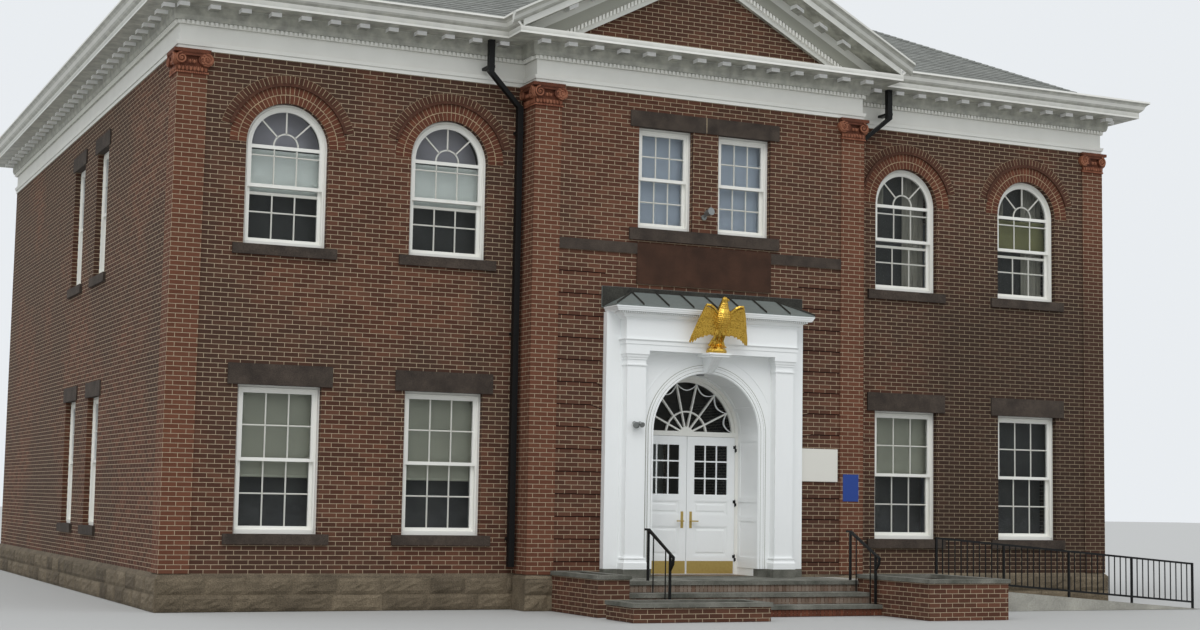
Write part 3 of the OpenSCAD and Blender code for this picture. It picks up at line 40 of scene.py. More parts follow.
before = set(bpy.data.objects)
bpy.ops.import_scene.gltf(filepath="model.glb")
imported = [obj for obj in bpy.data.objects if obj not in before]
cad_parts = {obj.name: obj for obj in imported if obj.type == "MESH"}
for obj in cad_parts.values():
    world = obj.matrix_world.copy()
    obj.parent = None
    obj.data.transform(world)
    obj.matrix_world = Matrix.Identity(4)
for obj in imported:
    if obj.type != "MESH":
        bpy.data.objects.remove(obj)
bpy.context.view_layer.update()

# Places taken from the frame, in metres
WING_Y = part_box("front_wall_left")[0].y
BAY_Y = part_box("bay_pier_left")[0].y
REAR_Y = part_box("rear_wall")[1].y
HALF_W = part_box("front_wall_right")[1].x
BAY_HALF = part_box("bay_pier_right")[1].x
BASE_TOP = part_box("stone_base")[1].z
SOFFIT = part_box("entablature")[1].z
BAND_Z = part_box("string_band")[0].z
CORONA_TOP = SOFFIT + 0.1
GUTTER_TOP = CORONA_TOP + 0.185
HALF_D = (REAR_Y - WING_Y) / 2
MIDDLE_Y = (REAR_Y + WING_Y) / 2
WALL_T = 0.33
DENTIL_Z = 8.34

# Openings of the walls, in metres, as the solids have them
WINDOW_W = 1.24
WINDOW_H = 2.125
SASH_W = 0.05
PANE_INSET = 0.06 + SASH_W
PANE_DEPTH = 0.1345
LOWER_PANE_DEPTH = PANE_DEPTH + 0.045
LOWER_Z = 1.095
UPPER_Z = 5.245
SPRING_Z = 6.72
SPRING = SPRING_Z - UPPER_Z
ARCH_MEET = 0.8775
ARCH_RAIL = ARCH_MEET - 0.13
INNER_X = 4.13
OUTER_X = HALF_W - 1.645
FRONT_XS = (-OUTER_X, -INNER_X, INNER_X, OUTER_X)
BAY_WINDOW_X = 0.705
BAY_WINDOW_W = 0.95
BAY_WINDOW_Z = 5.87
BAY_WINDOW_H = 1.595
SIDE_WINDOW_W = 0.95
SIDE_Y = (5.43, 7.54)
ROOF_SLOPE = 0.532
ROOF_O = 0.40
ROOF_EDGE = 8.76
CORONA_O = 0.48
GABLE_TOP = GUTTER_TOP + (BAY_HALF + 0.62) * ROOF_SLOPE
ARCH_R = 0.935
ARCH_Z = 2.72
PORTAL_HALF = 1.505
PORTAL_P = 0.33
ARCH_P = 0.13
ENTABLATURE_Z = 3.945
FRIEZE_TOP = 4.525
STRIP_P = 0.12
DOOR_Y = WING_Y + 0.03
DOOR_LIGHT = (0.125, 0.74, 1.76, 2.56)
DOOR_PANELS = ((1.45, 1.67), (0.80, 1.27))
FAN_R = 0.825
PLINTH_TOP = 0.625
RISER = 0.165
TREAD = 0.33
STEPS_HALF = 2.05
STEPS_Y = BAY_Y - 1.27
PLANTERS = ((-2.42, -2.18, -2.02, -0.67, 0.395), (-2.42, -0.53, -3.18, -2.565, 0.065),
            (2.18, 3.32, -3.52, -1.88, 0.395))
PERCH = (0.0, BAY_Y - ARCH_P - 0.305, ENTABLATURE_Z)
EAGLE_SCALE = 860 / 845
EAGLE_LEAN = radians(15)
# Height, middle, half width and half depth of the eagle's body
EAGLE_RINGS = ((0.360, 0.002, 0.058, 0.058), (0.440, -0.008, 0.084, 0.080), (0.520, -0.020, 0.108, 0.098),
               (0.595, -0.028, 0.120, 0.104), (0.650, -0.026, 0.112, 0.092), (0.705, -0.016, 0.086, 0.070),
               (0.760, -0.012, 0.064, 0.058), (0.800, -0.016, 0.054, 0.052))


def length(name, description, default, low, high):
    """Property for a size in metres"""
    return bpy.props.FloatProperty(
        name=name, description=description, default=default, min=low, max=high, unit="LENGTH")


class TownHallSizes(bpy.types.PropertyGroup):
    """Real sizes of the small work"""

    course: length("Course height", "Height of one brick with its joint", 0.0677, 0.05, 0.1)
    stretcher: length("Brick length", "Length of one brick with its joint", 0.213, 0.15, 0.3)
    joint: length("Mortar joint", "Width of the mortar joints", 0.009, 0.006, 0.02)
    bar: length("Glazing bar", "Width of the glazing bars", 0.022, 0.01, 0.04)
    dentil: length("Dentil pitch", "Distance between the dentils of the main cornice", 0.069, 0.05, 0.12)
    shingle: length("Shingle exposure", "Part of each shingle course that shows", 0.13, 0.1, 0.2)
    seam: length("Seam pitch", "Distance between the standing seams of the hood", 0.43, 0.3, 0.6)


def linear(code):
    """Linear colour of an sRGB hex value; one that is linear already stays"""
    if not isinstance(code, str):
        return tuple(code)
    parts = [int(code[i:i + 2], 16) / 255 for i in (1, 3, 5)]
    return tuple(c / 12.92 if c <= 0.04045 else ((c + 0.055) / 1.055) ** 2.4 for c in parts) + (1.0,)


def colour(name, description, code):
    """Property for a colour"""
    return bpy.props.FloatVectorProperty(
        name=name, description=description, subtype="COLOR", size=4, default=linear(code))


class TownHallColours(bpy.types.PropertyGroup):
    """Base colours of the finishes"""

    brick: colour("Brick", "Middle colour of the fired bricks", "#442c22")
    mortar: colour("Mortar", "Colour of the lime mortar", "#bfad92")
    paint: colour("White paint", "Colour of the painted joinery", "#f1f0ea")
    stone: colour("Brownstone", "Colour of the weathered lintels and sills", "#453c36")
    shingle: colour("Shingles", "Colour of the asphalt shingles", "#757770")
    gold: colour("Gold leaf", "Colour of the gilding", "#e3b953")


# Sockets that `add` fills where they aren't the first in order, and the output and settings that it takes
SOCKETS = {"Bump": ("Height", "Distance", "Strength"), "Mapping": (0, 3), "Mix": (0, 6, 7),
           "TexNoise": (0, 2, 3)}
OUTPUTS = {"Mix": 2, "TexCoord": "Object"}
SETTINGS = {"Mix": {"data_type": "RGBA"}}
CONSTANTS = {"TexNoise": {"Roughness": 0.55}}


def fill(tree, node, sockets):
    """Links the sockets of a node to outputs, or sets them"""
    for key, value in sockets.items():
        if isinstance(value, bpy.types.NodeSocket):
            tree.links.new(value, node.inputs[key])
        else:
            node.inputs[key].default_value = value


def add(tree, kind, *values, out=None, sockets=None, stops=(), **settings):
    """Adds a node with its settings and ramp stops, links or sets its sockets, and gives one output"""
    made = tree.nodes.new("ShaderNode" + kind)
    for key, value in {**SETTINGS.get(kind, {}), **settings}.items():
        setattr(made, key, value)
    if stops:
        first, last = made.color_ramp.elements
        first.position, first.color = stops[0]
        last.position, last.color = stops[-1]
    for place, tone in stops[1:-1]:
        made.color_ramp.elements.new(place).color = tone
    fill(tree, made, dict(zip(sockets or SOCKETS.get(kind, range(len(values))), values)))
    fill(tree, made, CONSTANTS.get(kind, {}))
    return made.outputs[OUTPUTS.get(kind, 0) if out is None else out]


def shade(material, **sockets):
    """Links or sets the shader's own sockets"""
    tree = material.node_tree
    named = {key.replace("_", " "): value for key, value in sockets.items()}
    fill(tree, tree.nodes["Principled BSDF"], named)


def finish(name, **constants):
    """A new material with its constants, the way to add its nodes, and the place on the object"""
    made = bpy.data.materials.new(name)
    made.use_nodes = True
    shade(made, **constants)
    node = partial(add, made.node_tree)
    return made, node, node("TexCoord")


def grey(value):
    """Linear grey"""
    return value, value, value, 1


def tinted(tone, share, code):
    """Linear colour part of the way towards an sRGB hex value"""
    return tuple(a + (b - a) * share for a, b in zip(tone, linear(code)))


def even(tones):
    """Ramp stops for tones at even steps"""
    return [(i / (len(tones) - 1), linear(tone)) for i, tone in enumerate(tones)]


SPECKS = [(0.35, linear("#3a241c")), (0.7, linear("#8d5a45"))]


def brick_finish(name, tones, mortar, sizes, soot):
    """Hand-pressed fired clay laid in running bond: matt, each brick its own red, sandy pale joints,
    greyed over metres by `soot`"""
    made, node, place = finish(name, Roughness=0.9, Specular_IOR_Level=0.25)
    x, y, z = (node("SeparateXYZ", place, out=axis) for axis in "XYZ")
    # Distance along a wall, whichever way it faces, and height from the string band
    facing = node("SeparateXYZ", node("TexCoord", out="Normal"))
    side = node("Math", node("Math", facing, operation="ABSOLUTE"), 0.5, operation="GREATER_THAN")
    along = node("Mix", side, x, y, out=0, sockets=(0, 2, 3), data_type="FLOAT")
    level = node("Math", z, BAND_Z, operation="SUBTRACT")
    bond = node("TexBrick", node("CombineXYZ", along, level), grey(0), grey(1), grey(0.5), 1.0,
                sizes.joint / 2, 0.15, 0.0, sizes.stretcher, sizes.course)
    joints = bond.node.outputs["Fac"]
    clay = node("ValToRGB", bond, stops=even(tones))
    # Rain-washed and sooty patches metres wide, blotches of a quarter metre, specks of a few millimetres
    patch = node("ValToRGB", node("TexNoise", place, 0.4, 3.0), stops=[(0.42, grey(0)), (0.56, grey(soot))])
    # Painted shade of a tree: the right wing goes darker below its upper windows
    right = node("MapRange", x, BAY_HALF + 0.6, BAY_HALF + 2.0)
    low = node("MapRange", z, SPRING_Z - 0.3, UPPER_Z - 0.4, 0.0, 0.9)
    tree_shade = node("Math", right, low, operation="MULTIPLY")
    patch = node("Mix", tree_shade, patch, grey(1))
    redder = node("Mix", 0.15, clay, linear("#7f4e39"))
    clay = node("Mix", patch, redder, node("Mix", 0.75, clay, linear("#3a3129")))
    blotch = node("TexNoise", place, 3.5, 4.0)
    clay = node("Mix", blotch, node("Mix", 0.25, clay, linear("#2d1a14")), clay)
    speck = node("TexNoise", place, 220.0, 2.0)
    clay = node("Mix", 0.2, clay, node("ValToRGB", speck, stops=SPECKS))
    grimy = node("Mix", 0.3, mortar, linear("#5f5246"))
    sand = node("Mix", node("TexNoise", place, 9.0, 4.0), mortar, grimy)
    # Painted shade there darkens the clay and the joints
    tree_shade_depth = node("Math", tree_shade, 0.45, operation="MULTIPLY")
    clay = node("Mix", tree_shade_depth, clay, linear("#231d18"))
    sand = node("Mix", tree_shade_depth, sand, linear("#57503f"))
    wall = node("Mix", joints, clay, sand)
    # Painted shade in the recessed joints of the bay, a dark tone on the faces within their depth, and
    # plaster on the faces inside the rooms
    for end_x, (low_y, high_y), tone in (
            (BAY_HALF - 0.35, (BAY_Y + 0.003, BAY_Y + 0.02), "#241611"),
            (HALF_W - WALL_T - 0.02, (WING_Y + WALL_T - 0.01, REAR_Y - WALL_T + 0.01), "#8f8b80")):
        in_x = node("Math", x, 0.0, end_x, operation="COMPARE")
        in_y = node("Math", y, (low_y + high_y) / 2, (high_y - low_y) / 2, operation="COMPARE")
        inside = node("Math", in_x, in_y, operation="MULTIPLY")
        wall = node("Mix", inside, wall, linear(tone))
    raised = node("Math", joints, -1.0, 1.0, operation="MULTIPLY_ADD")
    relief = node("Math", speck, 0.15, raised, operation="MULTIPLY_ADD")
    shade(made, Base_Color=wall, Normal=node("Bump", relief, 0.006))
    return made


def loose_brick_finish(name, *tones):
    """The same clay on bricks that are cut one by one: a tone for each"""
    made, node, place = finish(name, Roughness=0.9, Specular_IOR_Level=0.25)
    each = node("NewGeometry", out="Random Per Island")
    clay = node("ValToRGB", each, stops=even(tones))
    speck = node("TexNoise", place, 220.0, 2.0)
    clay = node("Mix", 0.35, clay, node("ValToRGB", speck, stops=SPECKS))
    shade(made, Base_Color=clay, Normal=node("Bump", speck, 0.002))
    return made


def stone_finish(name, dark, light, blotch, grain, relief, rough=0.85, each=False):
    """Sawn or split stone and what weathers like it: matt, mottled, with a fine grain"""
    made, node, place = finish(name, Roughness=rough, Specular_IOR_Level=0.3)
    dark, light = linear(dark), linear(light)
    mottle = node("TexNoise", place, blotch, 6.0)
    tone = node("ValToRGB", mottle, stops=[(0.3, dark), (0.7, light)])
    if each:
        island = node("NewGeometry", out="Random Per Island")
        tone = node("Mix", 0.5, tone, node("ValToRGB", island, stops=[(0.0, dark), (1.0, light)]))
    fine = node("TexNoise", place, grain, 4.0)
    grains = node("ValToRGB", fine, stops=[(0.3, (0.55, 0.54, 0.52, 1)), (0.7, (1.3, 1.3, 1.28, 1))])
    rough_face = node("Math", mottle, fine, operation="ADD")
    shade(made, Base_Color=node("Mix", 1.0, tone, grains, blend_type="MULTIPLY"),
          Normal=node("Bump", rough_face, relief))
    return made


def paint_finish(name, tone, rough=0.42, dirt=0.2, under=0.0, banded=False):
    """Oil paint brushed on wood: a soft gloss, faint brush marks, dust in patches and, by `under`, painted
    shade with grime on the faces that look down; `banded` adds painted shade with grime in bands under the
    main cornice"""
    made, node, place = finish(name, Roughness=rough, Specular_IOR_Level=0.45)
    tone = linear(tone)
    dusty = node("Mix", 0.35, tone, linear("#8b8a82"))
    cover = node("MapRange", node("TexNoise", place, 2.2, 6.0), 0.35, 0.8, 0.0, dirt)
    worn = node("Mix", cover, tone, dusty)
    # Painted shade with grime on the faces that look down, and with `banded` in bands under the main cornice
    if under:
        facing = node("SeparateXYZ", node("NewGeometry", out="Normal"), out="Z")
        shade_and_grime = node("MapRange", facing, -0.3, -0.9, 0.0, under)
        if banded:
            height = node("SeparateXYZ", place, out="Z")
            low, high = DENTIL_Z + 0.04, CORONA_TOP
            shade_bands = ((low, 0.0), (low + 0.02, 0.75), (SOFFIT - 0.005, 0.75), (SOFFIT, 0.0),
                     (SOFFIT + 0.028, 0.0), (SOFFIT + 0.034, 0.4), (SOFFIT + 0.068, 0.25), (high, 0.0))
            band_shade = node("ValToRGB", node("MapRange", height, low, high),
                             stops=[((z - low) / (high - low), grey(dark)) for z, dark in shade_bands])
            shade_and_grime = node("Math", shade_and_grime, band_shade, operation="MAXIMUM")
        grime = node("ValToRGB", node("TexNoise", place, 6.0, 5.0),
                     stops=[(0.35, linear("#67675b")), (0.7, linear("#adad9f"))])
        worn = node("Mix", shade_and_grime, worn, grime)
    long = node("Mapping", place, (1.0, 1.0, 0.15))
    brushed = node("TexNoise", long, 160.0, 2.0)
    shade(made, Base_Color=worn, Normal=node("Bump", brushed, 0.0006))
    return made


def shingle_finish(name, tone):
    """Asphalt shingles: tabs a third of a metre wide, mineral grit, patches that weathered lighter"""
    made, node, place = finish(name, Roughness=0.95, Specular_IOR_Level=0.2)
    each = node("NewGeometry", out="Random Per Island")
    tabs = node("TexNoise", place, 7.0, 2.0)
    dark, pale = node("Mix", 0.3, tone, linear("#4e504e")), node("Mix", 0.25, tone, linear("#a5a7a2"))
    tabs = node("ValToRGB", tabs, stops=[(0.35, linear("#5d5f5d")), (0.65, linear("#8f918d"))])
    grit = node("TexNoise", place, 300.0, 2.0)
    grains = node("ValToRGB", grit, stops=[(0.3, grey(0.05)), (0.75, (0.45, 0.45, 0.44, 1))])
    worn = node("Mix", 0.2, node("Mix", 0.4, node("Mix", each, dark, pale), tabs), grains)
    shade(made, Base_Color=worn, Normal=node("Bump", grit, 0.002))
    return made


def metal_finish(name, tone, rough, metallic, scuff):
    """Rolled or cast metal: its own tint, with dull patches that break the reflection"""
    made, node, place = finish(name, Metallic=metallic, Base_Color=linear(tone))
    patch = node("TexNoise", place, scuff, 4.0)
    shade(made, Roughness=node("MapRange", patch, 0.3, 0.7, rough * 0.8, min(rough * 1.3, 1.0)),
          Normal=node("Bump", patch, 0.0008))
    return made


def gilding_finish(name, tone):
    """Leaf rubbed through to its umber ground in small patches, so that it glints and goes dark"""
    made, node, place = finish(name, Metallic=1.0)
    rubbed = node("TexNoise", place, 70.0, 4.0)
    shade(made, Base_Color=node("ValToRGB", rubbed, stops=[(0.34, linear("#8a6826")), (0.5, tone)]),
          Roughness=node("ValToRGB", rubbed, stops=[(0.36, grey(0.5)), (0.55, grey(0.18))]),
          Normal=node("Bump", rubbed, 0.0008))
    return made


def glass_finish(name):
    """Old drawn glass: clear, faintly green, with a slow ripple"""
    made, node, place = finish(
        name, Base_Color=(0.96, 0.98, 0.98, 1), Roughness=0.02, IOR=1.28, Transmission_Weight=1.0)
    shade(made, Normal=node("Bump", node("TexNoise", place, 5.0, 1.0), 0.003, 0.3))
    return made


# What goes into each finish after its name, by the function that makes it
RECIPES = {
    # Tones of the single bricks: fresh red, burnt dark, and pale with old limewash
    loose_brick_finish: {
        "cut_brick": ("#4c2a1e", "#653828", "#573022", "#744430"),
        "header_brick": ("#33231b", "#4a3026", "#3b2820", "#5c4033"),
        "limewashed_brick": ("#6f6559", "#8d8477", "#9c9488", "#7d6a5c"),
    },
    # Dark and light tone, blotches and grains to the metre, relief in metres, roughness, a tone by the block
    stone_finish: {
        "lime_mortar": ("#a3917a", "#c9b697", 8.0, 200.0, 0.002),
        "red_sandstone": ("#38251b", "#4e3427", 3.0, 90.0, 0.003),
        "bluestone": ("#55564f", "#83827b", 3.0, 120.0, 0.003),
        "rockface_stone": ("#4b4236", "#837663", 3.0, 60.0, 0.01, 0.85, True),
        "terracotta": ("#562f21", "#7c4732", 5.0, 150.0, 0.003, 0.7),
        # A lighter terracotta for the capitals' ornament, a painted highlight on the scrolls, eggs and beads
        "rubbed_terracotta": ("#7d4733", "#ad7459", 9.0, 150.0, 0.002, 0.6),
        "concrete": ("#8a8983", "#b4b2aa", 2.0, 150.0, 0.002),
        "soil": ("#1d150e", "#4a3726", 18.0, 120.0, 0.02, 1.0),
        "slate_sheet": ("#2c2b28", "#45443f", 2.5, 60.0, 0.003),
        "oak_boards": ("#5a4029", "#8a6746", 3.0, 60.0, 0.002, 0.5),
    },
    # Tone, roughness, dirt, and painted shade with grime below: dusty or washed joinery, hard smooth enamel,
    # matt cloth
    paint_finish: {
        "bar_paint": ("#d3d2ca", 0.42, 0.2),
        "rake_paint": ("#dcdcd6", 0.42, 0.4, 0.85),
        # Pure white, a painted highlight that keeps the modillions bright in the cornice's shade
        "block_paint": ("#ffffff", 0.42, 0.05, 0.9),
        # Grey of dirt and painted shade, for the bed mouldings under the rakes and the lines in the portal's
        # quirks
        "weathered_paint": ("#a3a398", 0.42, 0.5),
        "portal_paint": ("#f6f8f8", 0.38, 0.06),
        "sign_enamel": ("#e4e2da", 0.3, 0.1),
        "blue_enamel": ("#20418f", 0.3, 0.1),
        "linen_slats": ("#a8a999", 0.6, 0.3),
        "linen": ("#98958a", 0.9, 0.2),
        "olive_blind": ("#85845a", 0.8, 0.2),
        "dark_blind": ("#2b2d2f", 0.7, 0.3),
        "dusk_cloth": ("#b3b0ba", 0.8, 0.3),
        "grey_blind": ("#c0cbdb", 0.7, 0.2),
        "aluminium_slats": ("#eef4f0", 0.5, 0.05),
    },
    # Tone, roughness, share of bare metal, scuffs to the metre: grey sheet, black iron, dull brass, castings
    metal_finish: {
        "painted_sheet": ("#7b827f", 0.4, 0.2, 6.0),
        "wrought_iron": ("#101112", 0.5, 0.4, 40.0),
        "brushed_brass": ("#c4ab68", 0.5, 0.85, 25.0),
        "grey_casting": ("#8d908f", 0.4, 0.6, 40.0),
    },
    glass_finish: {"window_glass": ()},
}


def make_finishes():
    """All materials by the name of what they are"""
    sizes = bpy.context.scene.town_hall_sizes
    colours = bpy.context.scene.town_hall_colours
    brick, mortar, paint, stone, shingle, gold = (
        tuple(getattr(colours, key)) for key in ("brick", "mortar", "paint", "stone", "shingle", "gold"))
    kept = {}
    reds = [tinted(brick, share, code) for share, code in (
        (0.5, "#22150f"), (0.25, "#33201a"), (0.0, "#000000"), (0.6, "#7a503d"), (0.5, "#6b4f40"))]
    for name, share, code, soot in (
            ("fired_brick", 0.0, "#000000", 0.9), ("washed_brick", 0.12, "#704c3c", 0.5),
            ("pilaster_brick", 0.45, "#85503a", 0.2)):
        kept[name] = brick_finish(name, [tinted(tone, share, code) for tone in reds], mortar, sizes, soot)
    kept["brownstone"] = stone_finish(
        "brownstone", tinted(stone, 0.5, "#241f1c"), tinted(stone, 0.25, "#6f6258"), 4.0, 90.0, 0.006)
    kept["white_paint"] = paint_finish("white_paint", paint, dirt=0.12)
    # Painted shade with grime under the cornice and on its faces that look down
    kept["cornice_paint"] = paint_finish("cornice_paint", paint, dirt=0.3, under=0.8, banded=True)
    kept["asphalt_shingle"] = shingle_finish("asphalt_shingle", shingle)
    kept["gold_leaf"] = gilding_finish("gold_leaf", gold)
    for make, rows in RECIPES.items():
        for name, values in rows.items():
            kept[name] = make(name, *values)
    return kept


# Which finish each solid wears
WORN = {
    "fired_brick": "front_wall_left front_wall_right upper_front_wall_left upper_front_wall_right"
                   " left_side_wall right_side_wall rear_wall",
    "washed_brick": "bay_pier_left bay_pier_right door_arch_masonry bay_upper_wall steps_core planters",
    "pilaster_brick": "corner_pilasters",
    "rockface_stone": "stone_base",
    "brownstone": "window_lintels window_sills string_band",
    "red_sandstone": "name_panel",
    "terracotta": "capitals",
    # The dark header bricks on the arch labels are a painted shadow line between the brick rings
    "header_brick": "arch_labels",
    "cornice_paint": "entablature front_eaves side_eaves rear_eaves bay_cornice",
    "rake_paint": "raking_cornice",
    "block_paint": "modillions",
    "white_paint": "front_windows side_windows rear_windows door_frame",
    "portal_paint": "portal_casing portal_arch portal_entablature keystone_bracket"
                    " left_door_leaf right_door_leaf",
    "asphalt_shingle": "main_roof bay_roof",
    "painted_sheet": "portal_hood",
    "wrought_iron": "downspouts ramp_railing step_railings frame_hinges",
    "brushed_brass": "left_door_brass right_door_brass",
    "gold_leaf": "eagle",
    "bluestone": "step_treads planter_copings portal_plinths",
    "concrete": "ramp",
    "oak_boards": "ground_floor upper_floor",
    "window_glass": "front_glass side_glass rear_glass fanlight_glass left_door_glass right_door_glass",
}
FINISHES = {}


class Pile:
    """Points and faces gathered for one piece, or set by a matrix into another pile"""

    def __init__(self, whole=None, place=None):
        self.whole = whole
        self.place = place
        self.points = []
        self.faces = []

    def at(self, place):
        """Way into this pile through a matrix"""
        return Pile(self, place)

    def add(self, points, faces):
        if self.whole:
            self.whole.add([self.place @ Vector(p) for p in points], faces)
            return
        first = len(self.points)
        self.points += [tuple(p) for p in points]
        self.faces += [[first + i for i in face] for face in faces]

    def box(self, x0, x1, y0, y1, z0, z1):
        self.prism([(x0, y0), (x1, y0), (x1, y1), (x0, y1)], 2, z0, z1)

    def prism(self, outline, axis, start, end):
        """Solid between two copies of an outline, which lists the two coordinates other than axis"""
        count = len(outline)
        ring = list(range(count))
        points = [(*pair[:axis], level, *pair[axis:]) for level in (start, end) for pair in outline]
        sides = [[i, (i + 1) % count, count + (i + 1) % count, count + i] for i in ring]
        self.add(points, [ring, [count + i for i in ring]] + sides)

    def sweep(self, loops):
        """Closed skin over loops of equal length"""
        count = len(loops[0])
        last = (len(loops) - 1) * count
        faces = [[a + i, a + (i + 1) % count, a + count + (i + 1) % count, a + count + i]
                 for a in range(0, last, count) for i in range(count)]
        faces += [list(range(count)), list(range(last, last + count))]
        self.add([p for loop in loops for p in loop], faces)


def placed(name, data):
    """A new object of the scene"""
    made = bpy.data.objects.new(name, data)
    bpy.context.scene.collection.objects.link(made)
    return made


def piece(name, pile, finish_name, body="building"):
    """Makes an object of a pile, with its finish and the body that it rides on"""
    mesh = bpy.data.meshes.new(name)
    mesh.from_pydata(pile.points, [], pile.faces)
    work = bmesh.new()
    work.from_mesh(mesh)
    bmesh.ops.recalc_face_normals(work, faces=work.faces)
    work.to_mesh(mesh)
    work.free()
    mesh.materials.append(FINISHES[finish_name])
    made = placed(name, mesh)
    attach(made, body)


def at(x, y, z=0.0, turn=0.0):
    """Matrix to a place, turned about the upright axis"""
    return Matrix.Translation((x, y, z)) @ Matrix.Rotation(turn, 4, "Z")


# Matrices that carry what is drawn at the origin, facing -Y, to the middle of each wall
WALLS = {"front": at(0, WING_Y), "rear": at(0, REAR_Y, 0, pi),
         "left": at(-HALF_W, MIDDLE_Y, 0, -pi / 2), "right": at(HALF_W, MIDDLE_Y, 0, pi / 2)}


def outward(angle):
    """Unit vector in the plane of the front, from the horizontal"""
    return Vector((cos(angle), 0, sin(angle)))


def round_bar(pile, start, end, radius, far_radius=None, sides=16):
    """Round bar or cone between two points"""
    start, end = Vector(start), Vector(end)
    along = (end - start).normalized()
    side = along.orthogonal().normalized()
    other = along.cross(side)
    far_radius = radius if far_radius is None else far_radius
    pile.sweep([[centre + (side * cos(2 * pi * i / sides) + other * sin(2 * pi * i / sides)) * r
                 for i in range(sides)] for centre, r in ((start, radius), (end, far_radius))])


def frustum(pile, x0, x1, z0, z1, y_wide, y_narrow, edge):
    """Raised field: a rectangle that narrows by edge on its way out"""
    pile.sweep([[(x0 + e, y, z0 + e), (x1 - e, y, z0 + e), (x1 - e, y, z1 - e), (x0 + e, y, z1 - e)]
                for y, e in ((y_wide, 0.0), (y_narrow, edge))])


def frame_strips(pile, x0, x1, z0, z1, y0, y1, wide):
    """Four strips inside a rectangle"""
    for low in (z0, z1 - wide):
        pile.box(x0, x1, y0, y1, low, low + wide)
    for left in (x0, x1 - wide):
        pile.box(left, left + wide, y0, y1, z0 + wide, z1 - wide)


def ring_plate(pile, inner, outer, proud, a0=0.0, a1=pi, steps=40):
    """Flat ring or part of one, `proud` of the place it is set at"""
    loops = []
    for i in range(steps + 1):
        way = outward(a0 + (a1 - a0) * i / steps)
        loops.append([way * r + Vector((0, y, 0))
                      for r, y in ((inner, 0), (outer, 0), (outer, -proud), (inner, -proud))])
    pile.sweep(loops)


def rough_patch(pile, columns, rows, point, foot, closed=False):
    """Grid of points with a skirt down to the feet of its edge, closed underneath if asked"""
    points = [point(c, r) for r in range(rows + 1) for c in range(columns + 1)]
    wide = columns + 1
    faces = [(r * wide + c, r * wide + c + 1, (r + 1) * wide + c + 1, (r + 1) * wide + c)
             for r in range(rows) for c in range(columns)]
    edge = [*range(columns), *range(columns, rows * wide, wide),
            *range(rows * wide + columns, rows * wide, -1), *range(rows * wide, 0, -wide)]
    first, count = len(points), len(edge)
    points += [foot(*points[i]) for i in edge]
    faces += [(edge[i], edge[(i + 1) % count], first + (i + 1) % count, first + i) for i in range(count)]
    if closed:
        faces.append(range(first, first + count))
    pile.add(points, faces)


class TOWNHALL_OT_stage(bpy.types.Operator):
    """Floor, soft light and the camera at the photograph's angle"""

    bl_idname = "town_hall.stage"
    bl_label = "Stage"

    # Colour of the sky by its height: street, roofs, haze and open sky
    GLOW = ((0.0, (0.30, 0.31, 0.29, 1)), (0.16, (0.42, 0.44, 0.42, 1)),
            (0.34, (0.88, 0.91, 0.95, 1)), (1.0, (1.25, 1.3, 1.36, 1)))

    def execute(self, context):
        scene = context.scene
        scene.view_settings.view_transform = "Standard"
        mesh = bpy.data.meshes.new("studio_floor")
        reach = 160.0
        corners = ((-reach, -reach), (reach, -reach), (reach, reach), (-reach, reach))
        mesh.from_pydata([(x, y, -0.004) for x, y in corners], [], [(0, 1, 2, 3)])
        mesh.materials.append(finish("studio_floor", Roughness=0.9, Base_Color=(0.4, 0.4, 0.39, 1))[0])
        placed("studio_floor", mesh)

        world = bpy.data.worlds.new("soft_sky")
        world.use_nodes = True
        sky = world.node_tree
        rise = add(sky, "SeparateXYZ", add(sky, "TexCoord", out="Generated"), out="Z")
        glow = add(sky, "ValToRGB", rise, stops=self.GLOW)
        seen = add(sky, "LightPath", out="Is Camera Ray")
        shown = sky.nodes["Background"].inputs
        sky.links.new(add(sky, "Mix", seen, glow, (0.8, 0.83, 0.86, 1)), shown["Color"])
        shown["Strength"].default_value = 1.02
        scene.world = world
        key = bpy.data.lights.new("key", "SUN")
        key.energy = 0.9
        key.angle = radians(35)
        key.color = (1.0, 0.98, 0.94)
        placed("key", key).rotation_euler = Vector((0.45, 0.75, -1.1)).to_track_quat("-Z", "Y").to_euler()

        # Camera solved from the photograph, in metres and radians
        yaw, pitch, roll = 0.4398, 0.0964, 0.0172
        data = bpy.data.cameras.new("camera")
        data.sensor_fit = "HORIZONTAL"
        data.sensor_width = 36.0
        data.lens = 57.25
        data.clip_end = 500.0
        scene.camera = placed("camera", data)
        look = Matrix.Rotation(pi / 2 + pitch, 4, "X") @ Matrix.Rotation(roll, 4, "Z")
        scene.camera.matrix_world = at(-14.186, WING_Y - 26.793, 1.664, -yaw) @ look
        return {"FINISHED"}


class TOWNHALL_OT_finishes(bpy.types.Operator):
    """Materials on every solid of the frame"""

    bl_idname = "town_hall.finishes"
    bl_label = "Finishes"

    def execute(self, context):
        FINISHES.update(make_finishes())
        for name, solids in WORN.items():
            for solid in solids.split():
                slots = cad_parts[solid].data.materials
                slots.clear()
                slots.append(FINISHES[name])
        return {"FINISHED"}


